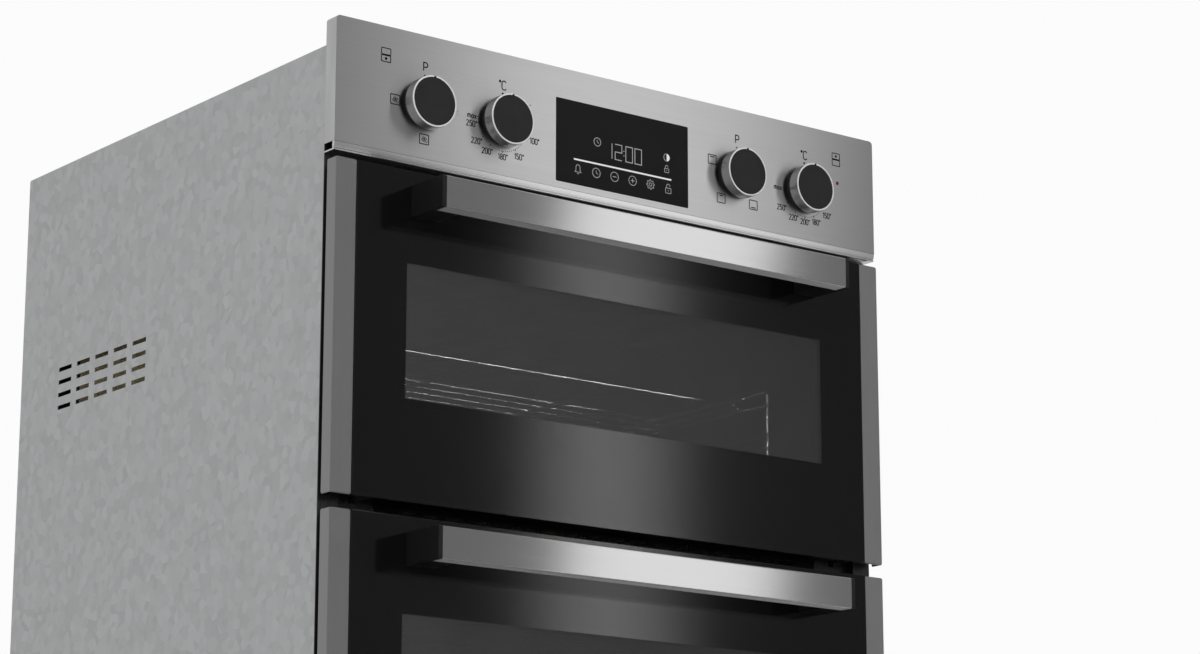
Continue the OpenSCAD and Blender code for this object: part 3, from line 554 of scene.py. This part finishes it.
# Each temperature scale: label, its place across and below the panel's top in mm, and its angle from the top
SCALES = {
    "lower_temperature": [
        ("100*", -94.5, 71.8, 107), ("150*", -110.9, 88.5, 148), ("180*", -127.9, 91.5, 180),
        ("200*", -144.1, 89.3, 210), ("220*", -155.2, 82.3, 232), ("250*", -160.5, 68.0, 260),
        ("max", -160.2, 60.6, 272)],
    "upper_temperature": [
        ("150*", 238.9, 81.2, 127), ("180*", 225.8, 89.5, 155), ("200*", 212.4, 91.3, 180),
        ("220*", 198.6, 89.4, 207), ("250*", 184.4, 82.2, 234), ("max", 180.2, 63.6, 266)],
}
# Each function symbol: its place across and below the panel's top in mm, and what it shows
FUNCTIONS = [(-238.1, 62.0, "fan"), (-208.6, 91.0, "fan"), (103.1, 51.8, "top"), (113.1, 86.0, "grill"),
             (150.7, 86.0, "bottom")]


def temperature_scale(layer, centre, labels):
    """Labels with a tick each, fine dots between them, and the degree sign and a dot above the knob."""
    for label, x, drop, turn in labels:
        layer.write(label, on_panel(x, drop), DEGREE_TEXT, PRINT_LINE)
        layer.line([round_knob(centre, radius, turn) for radius in (24.6, 26.4)], TICK_LINE)
    first, last = labels[0][3], labels[-1][3]
    steps = round((last - first) / 5)
    for i in range(1, steps):
        layer.dot(round_knob(centre, 25.0, first + (last - first) * i / steps), 0.42 * MM, 8)
    layer.write("*C", (centre.x - 0.4 * MM, centre.z + 33.4 * MM), 8.0 * MM, PRINT_BOLD)
    layer.dot((centre.x + 0.1 * MM, centre.z + 25.9 * MM), 1.05 * MM)


def panel_print(looks):
    """The scales, symbols and marks printed round the knobs."""
    layer = Print(FACE - 0.06 * MM, FACE + 0.3 * MM)
    centres = {name: middle(name + "_knob_ring") for name in KNOBS}
    for name, labels in SCALES.items():
        temperature_scale(layer, centres[name], labels)
    for name in ("lower_function", "upper_function"):
        centre = centres[name]
        layer.write("P", (centre.x + 0.4 * MM, centre.z + 33.8 * MM), 7.3 * MM, PRINT_BOLD)
        layer.dot((centre.x, centre.z + 25.9 * MM), 0.8 * MM)
    layer.line([round_knob(centres["lower_temperature"], radius, 54) for radius in (35.2, 36.8)], FINE_LINE)
    for drop in (60.2, 62.4):
        layer.dot(on_panel(-174.6, drop), 0.35 * MM, 8)
    for x, drop, kind in FUNCTIONS:
        oven_symbol(layer, on_panel(x, drop), (9.2 * MM, 8.4 * MM), kind)
    # Two stacked squares over each pair of knobs, with a dot in the oven that the pair serves
    for x, dotted in ((-247.8, 1), (251.5, 0)):
        for level in (0, 1):
            place = on_panel(x, 22.2 + 6.3 * level)
            oven_symbol(layer, place, (9.2 * MM, 5.5 * MM), "dot" if level == dotted else "")
    piece = new_object("panel_print", layer.bm, looks["ink"])
    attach(piece, "casing")


def segment_digit(layer, character, corner):
    """One clock digit in straight segments."""
    (x, z), w, h = corner, 7.4 * MM, 13.8 * MM
    strokes = {
        "0": (rect(x, z, x + w, z + h), True),
        "2": ([(x, z + h), (x + w, z + h), (x + w, z + h / 2), (x, z + h / 2), (x, z), (x + w, z)], False),
        "1": ([(x + w, z), (x + w, z + h)], False),
    }
    points, closed = strokes[character]
    layer.line(points, 0.75 * MM, closed)


def clock_symbol(layer, centre, radius):
    x, z = centre
    layer.ring(centre, radius, 0.6 * MM)
    hands = [(x - radius * 0.1, z + radius * 0.5), (x, z), (x + radius * 0.42, z - radius * 0.3)]
    layer.line(hands, FINE_LINE)


def minus_or_plus(layer, centre, plus):
    """A ringed minus or plus sign. The plus sign's upright is in two parts, clear of its bar."""
    x, z = centre
    arm, gap, width = 2 * MM, 0.35 * MM, 0.6 * MM
    layer.ring(centre, 4.2 * MM, SYMBOL_LINE)
    layer.line([(x - arm, z), (x + arm, z)], width)
    if plus:
        layer.line([(x, z - arm), (x, z - gap)], width)
        layer.line([(x, z + gap), (x, z + arm)], width)


def bell_symbol(layer, centre):
    x, z = centre
    left = [(x - 3.3 * MM, z - 2.6 * MM), (x - 2.3 * MM, z - 1.4 * MM)]
    right = [(x + 2.3 * MM, z - 1.4 * MM), (x + 3.3 * MM, z - 2.6 * MM)]
    layer.line(left + arc(x, z + 1.4 * MM, 2.2 * MM, 2.6 * MM, 180, 0, 8) + right, SYMBOL_LINE, True)
    layer.line(arc(x, z - 3.2 * MM, 1.0 * MM, 1.0 * MM, 200, 340, 5), FINE_LINE)


def gear_symbol(layer, centre):
    """A ringed gear with eight teeth."""
    outline = []
    for i in range(32):
        radius = (4.3 if i % 4 < 2 else 3.2) * MM
        a = 2 * pi * i / 32
        outline.append((centre[0] + radius * cos(a), centre[1] + radius * sin(a)))
    layer.line(outline, FINE_LINE, True)
    layer.ring(centre, 1.5 * MM, FINE_LINE, 12)


def padlock(layer, centre, size, width):
    """A padlock symbol."""
    x, z = centre
    w, h = size * 0.72, size * 0.55
    foot = z - size / 2
    layer.line(round_rect(x - w / 2, foot, x + w / 2, foot + h, 0.4 * MM, 2), width, True)
    bow = foot + h
    layer.line([(x - w * 0.32, bow)] + arc(x, bow + size * 0.2, w * 0.32, size * 0.24, 180, 0, 6), width)
    layer.dot((x, foot + h / 2), 0.45 * MM, 8)


def display_print(looks):
    """Clock digits, the bright line and the touch symbols on the display."""
    low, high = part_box("display_glass")
    front, back = low.y - 0.05 * MM, low.y + 0.3 * MM
    cx = (low.x + high.x) / 2
    thin, pale = Print(front, back), Print(front, back)

    def at(x, z):
        """A place in mm across from the display's middle and up from its foot."""
        return cx + x * MM, low.z + z * MM

    half_line, line_r = 0.75 * MM, 0.3 * MM
    x0, z = at(-54.0, 22.3)
    pale.fill(round_rect(x0, z - half_line, at(54.0, 0)[0], z + half_line, line_r, 2))
    for character, x in (("1", -19.7), ("2", -8.8), ("0", 3.0), ("0", 13.1)):
        segment_digit(thin, character, at(x, 29.9))
    for level in (34.9, 38.9):
        thin.dot(at(0.9, level), 0.55 * MM, 8)
    clock_symbol(thin, at(-28.4, 42.1), 3.7 * MM)
    clock_symbol(thin, at(-29.5, 14.0), 4.2 * MM)
    minus_or_plus(thin, at(-9.5, 14.0), False)
    minus_or_plus(thin, at(10.5, 14.0), True)
    bell_symbol(thin, at(-49.5, 13.8))
    gear_symbol(thin, at(30.5, 14.1))
    padlock(thin, at(50.5, 13.8), 8.4 * MM, SYMBOL_LINE)
    padlock(thin, at(48.8, 31.6), 6.6 * MM, FINE_LINE)
    # A half-filled disc: its left half as a line, its right half solid
    hx, hz = at(48.8, 42.0)
    thin.line(arc(hx, hz, 3.2 * MM, 3.3 * MM, 100, 260, 10), SYMBOL_LINE)
    pale.fill(arc(hx, hz, 3.4 * MM, 3.5 * MM, -90, 90, 12))
    for name, layer, material in (("display_symbols", thin, "glyph"), ("display_line", pale, "glyph_bright")):
        piece = new_object(name, layer.bm, looks[material])
        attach(piece, "casing")


def heating_light(looks):
    """The small red lens right of the last knob."""
    centre = middle("upper_temperature_knob_ring")
    place = Vector((centre.x + 40.4 * MM, 0, centre.z + 13.9 * MM))
    radius, height, rim = 1.7, 0.45, 0.05
    dome = [(radius * cos(radians(a)), -rim - height * sin(radians(a))) for a in (20, 45, 70)]
    profile = [(radius, 0.4), (radius, -rim)] + dome + [(0.05, -rim - height)]
    bm = bmesh.new()
    revolve(bm, [(r * MM, FACE + y * MM) for r, y in profile], place, 32, closed=False)
    piece = new_object("heating_light", bm, looks["led"])
    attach(piece, "casing")


# ---- control panel ----

BAND_HEIGHT = 7.4 * MM
SEAM_DROP = 5.6 * MM


def band_section(low, depth, sheet):
    """The folded band's section in Y and Z: a long convex roll, a fine seam and the hem under it."""
    y, knee = low.y, low.z + BAND_HEIGHT
    seam = knee - SEAM_DROP
    top = knee - 0.1 * MM
    roll = [(y + 0.70 * MM, top)]
    for i in range(9):
        t = i / 8
        roll.append((y + 0.05 * MM + 1.15 * MM * t ** 1.8, knee - 0.25 * MM - (5.15 * MM) * t))
    groove = [(y + 2.2 * MM, seam + 0.1 * MM), (y + 2.2 * MM, seam - 0.3 * MM)]
    hem = [(y + 0.9 * MM, seam - 0.4 * MM), (y + 1.0 * MM, low.z + 0.5 * MM), (y + 1.6 * MM, low.z)]
    inner_y = y + 3.2 * MM
    rear = [(depth, low.z), (depth, low.z + sheet), (inner_y, low.z + sheet), (inner_y, top)]
    return roll + groove + hem + rear


def fascia(looks):
    """The steel panel pressing: a flat face with softened edges, and a bright folded band along its foot,
    whose lighter steel is a painted highlight.
    """
    low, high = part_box("control_fascia")
    sheet = 1.2 * MM
    knee, depth = low.z + BAND_HEIGHT, high.y
    steel = looks["fascia"]
    outline = round_rect(low.x, knee, high.x, high.z, 3.5 * MM, 6)
    plate = solid("fascia_panel", outline, "y", low.y, depth, steel)
    square_foot = solid("foot", rect(low.x, knee, high.x, knee + 6 * MM), "y", low.y, depth, steel)
    combine(plate, square_foot, "UNION")
    soften(plate, 1.1 * MM, 3)
    inside = rect(low.x + sheet, knee - PAST, high.x - sheet, high.z - sheet)
    combine(plate, solid("hollow", inside, "y", low.y + sheet, depth + PAST, steel), "DIFFERENCE")
    pane_low, pane_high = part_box("display_glass")
    fit = 0.3 * MM
    around = (pane_low.x - fit, pane_low.z - fit, pane_high.x + fit, pane_high.z + fit)
    openings = [round_rect(*around, 1.1 * MM, 4)]
    for name in KNOBS:
        centre = middle(name + "_knob_ring")
        openings.append(arc(centre.x, centre.z, 9 * MM, 9 * MM, 0, 350, 35))
    for opening in openings:
        combine(plate, solid("opening", opening, "y", low.y - PAST, low.y + 3 * MM, steel), "DIFFERENCE")
    sharpen(plate, 38)
    flatten(plate)
    bm = bmesh.new()
    prism(bm, band_section(low, depth, sheet), "x", low.x + 0.2 * MM, high.x - 0.2 * MM)
    band = new_object("fascia_band", bm, looks["band"], 50)
    for piece in (plate, band):
        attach(piece, "casing")
    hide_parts("control_fascia")
    return [plate, band]


NOTCH_HALF = 1.2 * MM
RING_WALL = 1.6 * MM
RIM_ROUNDING = 0.55 * MM


def knob_ring(name, centre, outer, front, back, looks):
    """A knob's steel ring, with a bright rim, whose pale, nearly matt colour is a painted highlight, and a
    black notch in it at the top as its pointer.
    """
    inner, near = outer - RING_WALL, 0.01 * MM
    r = RIM_ROUNDING
    rounding = [(outer - r + r * sin(radians(a)), front + r - r * cos(radians(a)))
                for a in (0, 22.5, 45, 67.5, 90)]
    bevel = [(inner, back), (inner, front + 0.15 * MM), (inner + 0.15 * MM, front)]
    foot = [(outer - 0.1 * MM, back - 0.5 * MM), (outer - 0.5 * MM, back)]
    bm = bmesh.new()
    revolve(bm, bevel + rounding + foot, centre, 128)
    ring = new_object(name + "_knob_steel_ring", bm, looks["knob_ring"])
    notch_back = front + 4.5 * MM
    outline = round_rect(centre.x - NOTCH_HALF, centre.z + outer - RING_WALL - PAST,
                         centre.x + NOTCH_HALF, centre.z + outer + PAST, 0.3 * MM, 2)
    notch = solid("notch", outline, "y", front - PAST, notch_back, looks["knob_ring"])
    combine(ring, notch, "DIFFERENCE")
    sharpen(ring, 35)
    # The second material, on the rim's front faces, is a painted highlight; the third is the black pointer.
    ring.data.materials.append(looks["knob_rim"])
    ring.data.materials.append(looks["knob"])
    for polygon in ring.data.polygons:
        at = polygon.center
        if abs(at.x - centre.x) < NOTCH_HALF + near and at.z > centre.z and at.y < notch_back + near:
            polygon.material_index = 2
        elif at.y < front + 0.5 * r and polygon.normal.y < -0.6:
            polygon.material_index = 1
    return ring


def knob_core(name, centre, outer, back, cap_low, cap_high, looks):
    """A knob's black core: a slightly dished face, and a socket for the spindle at the back."""
    radius = outer - RING_WALL - 0.05 * MM
    face, rear, dish = cap_low.y, cap_high.y, 0.25 * MM
    socket = [(2.4 * MM, rear - 0.6 * MM), (3.0 * MM, rear - 1.6 * MM), (3.0 * MM, back)]
    side = [(radius, back), (radius, face + 0.35 * MM), (radius - 0.1 * MM, face + 0.12 * MM),
            (radius - 0.4 * MM, face)]
    front = [(radius * share, face + dish * (1 - share * share)) for share in (0.9, 0.75, 0.55, 0.3, 0.08)]
    bm = bmesh.new()
    revolve(bm, socket + side + front, centre, 96, closed=False)
    return new_object(name + "_knob_core", bm, looks["knob"])


def knob(name, looks):
    """A knob: a black core in a steel ring."""
    ring_low, ring_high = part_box(name + "_knob_ring")
    centre = (ring_low + ring_high) / 2
    outer = (ring_high.x - ring_low.x) / 2
    ring = knob_ring(name, centre, outer, ring_low.y, ring_high.y, looks)
    cap = knob_core(name, centre, outer, ring_high.y, *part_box(name + "_knob_cap"), looks)
    for piece, slot_name, node in ((ring, "handle_steel", "_knob_ring"), (cap, "knob_black", "_knob_cap")):
        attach(piece, name + "_knob")
        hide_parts(name + node)


def collars(looks):
    """The dark collars that the knobs turn on, with a chamfered front edge."""
    low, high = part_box("knob_collars")
    bm = bmesh.new()
    for name in KNOBS:
        centre = middle(name + "_knob_ring")
        r = high.z - centre.z
        profile = [(6 * MM, high.y), (6 * MM, low.y), (r - 0.4 * MM, low.y), (r, low.y + 0.4 * MM),
                   (r, high.y - 0.9 * MM), (r, high.y)]
        revolve(bm, profile, centre, 96)
    piece = new_object("knob_collar_rings", bm, looks["black"])
    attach(piece, "casing")
    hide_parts("knob_collars")


def display(looks):
    """The dark display pane with ground edges."""
    low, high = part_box("display_glass")
    outline = round_rect(low.x, low.z, high.x, high.z, 0.9 * MM, 4)
    pane = solid("display_pane", outline, "y", low.y, high.y, looks["display"])
    soften(pane, 0.25 * MM, 2)
    flatten(pane)
    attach(pane, "casing")
    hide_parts("display_glass")


# ---- doors ----

WINDOW_HALF = 225.5 * MM
WINDOW_DROP = 79.2 * MM
WINDOW_FOOT = 85.0 * MM


def door_glass(door, looks):
    """The outer pane: printed black round the edge, with a see-through window in the middle."""
    low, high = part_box(door + "_outer_glass")
    black = looks["black_glass"]
    pane = round_rect(low.x, low.z, high.x, high.z, 1.5 * MM, 4)
    border = solid(door + "_glass_border", pane, "y", low.y, high.y, black)
    soften(border, 0.4 * MM, 2)
    outline = round_rect(-WINDOW_HALF, low.z + WINDOW_FOOT, WINDOW_HALF, high.z - WINDOW_DROP, 0.8 * MM, 3)
    combine(border, solid("opening", outline, "y", low.y - PAST, high.y + PAST, black), "DIFFERENCE")
    sharpen(border, 30)
    flatten(border)
    window = solid(door + "_glass_window", outline, "y", low.y + 0.02 * MM, high.y, looks["window"])
    flatten(window)
    for piece in (border, window):
        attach(piece, door + "_door")
    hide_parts(door + "_outer_glass")
    return window


def door_trims(door, looks):
    """The folded steel strips down both sides of a door."""
    low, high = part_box(door + "_door_trims")
    sheet, steel = 1.2 * MM, looks["trim"]
    inner_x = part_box(door + "_outer_glass")[1].x + 0.3 * MM
    for side, word in ((-1, "left"), (1, "right")):
        x0, x1 = sorted((side * inner_x, side * high.x))
        outline = round_rect(x0, low.z, x1, high.z, 2 * MM, 5)
        strip = solid(f"{door}_door_strip_{word}", outline, "y", low.y, high.y, steel)
        soften(strip, 0.9 * MM, 3)
        x0, x1 = sorted((side * (inner_x - PAST), side * (high.x - sheet)))
        inside = rect(x0, low.z - PAST, x1, high.z + PAST)
        combine(strip, solid("hollow", inside, "y", low.y + sheet, high.y + PAST, steel), "DIFFERENCE")
        sharpen(strip, 38)
        flatten(strip)
        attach(strip, door + "_door")
        if side > 0:
            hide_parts(door + "_door_trims")


def handle_section(front, centre_z, depth, height, shrink=0.0):
    """Outline of the bar's section in Y and Z: a flat front, round corners and flat returns."""
    half, corner = height / 2 - shrink, max(0.5 * MM, 1.5 * MM - shrink)
    first = front + shrink
    foot = arc(first + corner, centre_z - half + corner, corner, corner, 270, 180, 6)
    head = [(y, 2 * centre_z - z) for y, z in reversed(foot)]
    return [(front + depth, centre_z - half)] + foot + head + [(front + depth, centre_z + half)]


def handle(door, looks):
    """The bar handle: a hollow steel bar with a flat front, between two dark end blocks."""
    low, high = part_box(door + "_handle_bar")
    block_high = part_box(door + "_handle_brackets")[1]
    centre_z = (low.z + high.z) / 2
    depth, height = high.y - low.y, high.z - low.z
    wall = 1.5 * MM
    outline = handle_section(low.y, centre_z, depth, height)
    bar = solid(door + "_handle_steel_bar", outline, "x", low.x, high.x, looks["handle"])
    inner = handle_section(low.y, centre_z, depth + PAST, height, wall)
    combine(bar, solid("hollow", inner, "x", low.x - PAST, high.x + PAST, looks["handle"]), "DIFFERENCE")
    sharpen(bar, 28)
    flatten(bar)
    bar.data.materials.append(looks["handle_return"])
    for polygon in bar.data.polygons:
        if abs(polygon.normal.z) > 0.97:
            polygon.material_index = 1
    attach(bar, door + "_door")
    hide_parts(door + "_handle_bar")
    block_w, fit = 22 * MM, 0.2 * MM
    leg_outline = rect(low.y + depth + 0.1 * MM, low.z, block_high.y, high.z)
    plug_outline = rect(low.y + 5 * MM, low.z + wall + fit, low.y + depth + PAST, high.z - wall - fit)
    black = looks["bracket"]
    for side, word in ((-1, "left"), (1, "right")):
        x0, x1 = sorted((side * high.x, side * block_high.x))
        cap = solid(f"{door}_handle_end_{word}", outline, "x", x0, x1, black)
        x0, x1 = sorted((side * (high.x - block_w), side * block_high.x))
        combine(cap, solid("leg", leg_outline, "x", x0, x1, black), "UNION")
        # The plug in the bar stops short of the end block's outer face
        x0, x1 = (x0, x1 - 0.5 * MM) if side > 0 else (x0 + 0.5 * MM, x1)
        combine(cap, solid("plug", plug_outline, "x", x0, x1, black), "UNION")
        soften(cap, 0.7 * MM, 3, 50)
        flatten(cap)
        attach(cap, door + "_door")
        if side > 0:
            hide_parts(door + "_handle_brackets")
    return bar


# ---- CAD nodes that stay ----

def dress_nodes(looks):
    """Gives every CAD node that stays its material."""
    worn_by = {
        "galvanised": ["base_plate", "side_panels", "top_cover", "rear_panel", "divider_tray",
                       "control_floor", "blower_housing"],
        "enamel_black": ["front_posts", "bottom_trim"],
        # Painted shade: the rails' darkened enamel.
        "rail_painted_shade": ["front_rails"],
        "enamel_grey": ["upper_cavity", "lower_cavity", "lower_fan_cover"],
        "wool": ["insulation_blankets"],
        "rubber": ["door_gaskets"],
        "wire": ["upper_side_racks", "lower_side_racks", "upper_shelf", "lower_shelf"],
        "element": ["upper_grill_element", "upper_base_element", "lower_ring_element"],
        "motor": ["fan_motor", "blower_motor"],
        "ceramic": ["lamp_sockets"],
        "lens": ["lamp_lenses"],
        "black": ["terminal_box", "fascia_carrier", "blower_impeller", "upper_door_frame",
                  "lower_door_frame"],
        "board": ["power_board", "display_board"],
        "switch": ["rotary_switches"],
        "zinc": ["casing_screws"],
        "spring_steel": ["hinge_blades", "upper_hinge_cases", "lower_hinge_cases"],
        "aluminium": ["fan_impeller"],
        "inner_glass": ["upper_inner_glass", "lower_inner_glass"],
    }
    for look, names in worn_by.items():
        for name in names:
            mesh = NODES[name].data
            mesh.materials.clear()
            mesh.materials.append(looks[look])


# ---- stage ----

def add_camera():
    """The viewpoint: low in front of the left corner, looking up at the panel and the doors."""
    data = bpy.data.cameras.new("camera")
    data.sensor_width = 36.0
    data.lens = 96.14
    camera = add_object("camera", data)
    camera.location = CAMERA
    camera.rotation_euler = (radians(103.47), 0.0, radians(-37.81))
    bpy.context.scene.camera = camera


def add_floor():
    """A pale floor under the oven."""
    m = Material("floor_paint", grey(0.90), 0.75)
    m.tint(m.noise((3, 3, 3)), 0.02)
    bm = bmesh.new()
    half, top, thickness = 9.0, -0.4 * MM, 0.02
    prism(bm, rect(-half, -half, half, half), "z", top - thickness, top)
    floor = new_object("floor", bm, m.material)
    floor.visible_glossy = False
    return floor


TURN = radians(37.9)
TOWARDS_LIGHT = Vector((sin(TURN), -cos(TURN), 0.0))
CAMERA = Vector((-1.6585, FACE - 2.107, 0.025))
CAMERA_REACH = hypot(CAMERA.x, CAMERA.y - FACE)


def chain(tree):
    """Returns a function that adds a maths node; its inputs are numbers or other nodes' outputs."""
    def maths(operation, *values):
        node = tree.nodes.new("ShaderNodeMath")
        node.operation = operation
        for socket, value in zip(node.inputs, values):
            if isinstance(value, (int, float)):
                socket.default_value = value
            else:
                tree.links.new(value, socket)
        return node.outputs[0]
    return maths


def link_light(lamp, pieces, state="INCLUDE", role="receiver"):
    """Lights only the given pieces, or with EXCLUDE everything else. A blocker casts the lamp's shadows."""
    group = bpy.data.collections.new(f"{lamp.name}_{role}s")
    for piece in pieces:
        group.objects.link(piece)
    setattr(lamp.light_linking, role + "_collection", group)
    for entry in group.collection_objects:
        entry.light_linking.link_state = state


def sideways_share(maths, x, z, across, distance, level):
    """X along a strip as seen in steel brushed along X: where the way to the light leans equally along X."""
    rise = maths("SUBTRACT", z, level)
    flat = maths("ADD", maths("MULTIPLY", x, x), distance ** 2)
    reach = maths("SQRT", maths("ADD", maths("MULTIPLY", rise, rise), flat))
    sideways = maths("ADD", maths("MULTIPLY", x, across.x), distance * TOWARDS_LIGHT.x)
    middle_share = TOWARDS_LIGHT.x * cos(atan2(level - CAMERA.z, CAMERA_REACH))
    share = maths("SUBTRACT", maths("DIVIDE", sideways, reach), middle_share)
    return maths("MULTIPLY", share, distance / across.x)


def add_strip_light(name, distance, offset, half_w, peak, power, level=None):
    """A tall soft strip light to the front right, which fades from its middle line to its edges.

    With a level, its edges are bent so that they look straight in steel brushed along X at that height.
    """
    low_z, high_z = -4.0, 7.0
    edge = half_w * (3.0 if level else 1.0)
    across = Vector((-TOWARDS_LIGHT.y, TOWARDS_LIGHT.x, 0.0))
    m = bpy.data.materials.new(name)
    m.use_nodes = True
    tree = m.node_tree
    tree.nodes.clear()
    add, link = tree.nodes.new, tree.links.new
    output = add("ShaderNodeOutputMaterial")
    emission = add("ShaderNodeEmission")
    coords = add("ShaderNodeTexCoord")
    split = add("ShaderNodeSeparateXYZ")
    link(coords.outputs["Object"], split.inputs["Vector"])
    maths = chain(tree)
    x = split.outputs["X"]
    if level:
        x = sideways_share(maths, x, split.outputs["Z"], across, distance, level)
    share = maths("MINIMUM", maths("ABSOLUTE", maths("DIVIDE", x, half_w)), 1.0)
    fall = maths("MAXIMUM", maths("SUBTRACT", 1.0, maths("POWER", share, power)), 0.0)
    link(maths("MULTIPLY", maths("MULTIPLY", fall, fall), peak), emission.inputs["Strength"])
    clear = add("ShaderNodeBsdfTransparent")
    both = add("ShaderNodeAddShader")
    link(emission.outputs[0], both.inputs[0])
    link(clear.outputs[0], both.inputs[1])
    link(both.outputs[0], output.inputs["Surface"])
    mesh = bpy.data.meshes.new(name)
    corners = [(a, 0, b) for a, b in rect(-edge, low_z, edge, high_z)]
    mesh.from_pydata(corners, [], [(0, 1, 2, 3)])
    mesh.materials.append(m)
    strip = add_object(name, mesh)
    strip.location = Vector((-0.02, FACE, 0.0)) + TOWARDS_LIGHT * distance + across * offset
    strip.rotation_euler = (0.0, 0.0, atan2(across.y, across.x))
    strip.visible_camera = False
    strip.visible_shadow = False
    return strip


def add_area_light(name, place, target, size, power):
    """A rectangular lamp that looks at a target."""
    data = bpy.data.lights.new(name, "AREA")
    data.shape = "RECTANGLE"
    data.size, data.size_y = size
    data.energy = power
    lamp = add_object(name, data)
    lamp.visible_glossy = False
    lamp.location = place
    lamp.rotation_euler = (Vector(target) - Vector(place)).to_track_quat("-Z", "Y").to_euler()
    return lamp


def light_cavity(door):
    """Two faint glows inside an oven, just behind the door, that pick out the wires."""
    low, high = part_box(door + "_cavity")
    above = Vector((0.04, low.y + 55 * MM, high.z - 14 * MM))
    beside = Vector((-0.10, low.y + 40 * MM, (low.z + high.z) / 2))
    racks, shelf = NODES[door + "_side_racks"], NODES[door + "_shelf"]
    glows = [(above, (0.0, 0.25, -0.25), (0.38, 0.02), 0.5, [racks, shelf]),
             (beside, (0.30, 0.12, 0.0), (0.02, 0.24), 1.4, [racks])]
    for place, way, size, power, wires in glows:
        lamp = add_area_light(door + "_cavity_glow", place, place + Vector(way), size, power)
        lamp.visible_glossy = True
        lamp.visible_camera = False
        link_light(lamp, wires)


def light_front(panel, bars, windows, floor):
    """Strip lights for the panel, the glass and each bar, and a lamp for the windows' grey veil.

    The glass has two strips, and the handles don't shade the second. Each strip stands at its own distance,
    because strips in one plane would hide each other.
    """
    glass = {"offset": 0.0, "half_w": 0.165, "power": 2.0}
    for name, distance, peak in (("strip_light", 2.24, 1.0), ("open_strip_light", 2.20, 1.9)):
        strip = add_strip_light(name, distance, peak=peak, **glass)
        link_light(strip, bars + panel + [floor], "EXCLUDE")
    link_light(strip, bars, "EXCLUDE", "blocker")
    strip = add_strip_light("panel_strip_light", 2.08, offset=0.038, half_w=0.31, peak=0.84, power=10.0)
    link_light(strip, panel)
    for distance, bar in zip((2.12, 2.16), bars):
        level = sum(corner[2] for corner in bar.bound_box) / 8
        strip = add_strip_light(bar.name + "_light", distance, 0.042, 0.182, 1.02, 10.0, level)
        link_light(strip, [bar])
    veil_place = (-0.75, -0.75 + FACE + 0.28, 0.5)
    veil = add_area_light("window_light", veil_place, (0.0, FACE, 0.5), (0.2, 0.8), 3.2)
    link_light(veil, windows)


def add_world():
    """A pale studio: near white behind the oven, bright all round, and dimmer where the front faces look."""
    all_round, at_front, backdrop = 0.60, 0.165, 0.971
    world = bpy.data.worlds.new("studio")
    bpy.context.scene.world = world
    world.use_nodes = True
    tree = world.node_tree
    tree.nodes.clear()
    add, link = tree.nodes.new, tree.links.new
    output = add("ShaderNodeOutputWorld")
    coords = add("ShaderNodeTexCoord")
    split = add("ShaderNodeSeparateXYZ")
    link(coords.outputs["Generated"], split.inputs["Vector"])
    maths = chain(tree)
    x, y = split.outputs["X"], split.outputs["Y"]
    squares = maths("ADD", maths("MULTIPLY", x, x), maths("MULTIPLY", y, y))
    level = maths("SQRT", maths("ADD", squares, 1e-6))
    along = maths("ADD", maths("MULTIPLY", x, TOWARDS_LIGHT.x), maths("MULTIPLY", y, TOWARDS_LIGHT.y))
    turn = maths("DIVIDE", along, level)
    patch = add("ShaderNodeMapRange")
    patch.interpolation_type = "SMOOTHSTEP"
    for socket, value in (("From Min", cos(radians(56))), ("From Max", cos(radians(18))),
                          ("To Min", all_round), ("To Max", at_front)):
        patch.inputs[socket].default_value = value
    link(turn, patch.inputs["Value"])
    around = add("ShaderNodeBackground")
    around.inputs["Color"].default_value = (1.0, 1.0, 1.0, 1.0)
    link(patch.outputs["Result"], around.inputs["Strength"])
    behind = add("ShaderNodeBackground")
    behind.inputs["Color"].default_value = (1.0, 1.0, 1.0, 1.0)
    behind.inputs["Strength"].default_value = backdrop
    path = add("ShaderNodeLightPath")
    mix = add("ShaderNodeMixShader")
    link(path.outputs["Is Camera Ray"], mix.inputs["Fac"])
    link(around.outputs[0], mix.inputs[1])
    link(behind.outputs[0], mix.inputs[2])
    link(mix.outputs[0], output.inputs["Surface"])


def main():
    """Builds the looks, the camera and the lights."""
    looks = make_materials()
    add_camera()
    floor = add_floor()
    add_world()
    add_area_light("key_light", place=(-1.1, -1.5, 1.8), target=(0.0, -0.2, 0.6), size=(1.0, 1.0), power=11)
    bpy.context.scene.view_settings.view_transform = "Standard"
    dress_nodes(looks)
    panel = fascia(looks)
    collars(looks)
    display(looks)
    panel_print(looks)
    display_print(looks)
    heating_light(looks)
    for name in KNOBS:
        knob(name, looks)
    bars, windows = [], []
    for door in DOORS:
        windows.append(door_glass(door, looks))
        door_trims(door, looks)
        bars.append(handle(door, looks))
    light_front(panel, bars, windows, floor)
    for door in DOORS:
        light_cavity(door)


main()
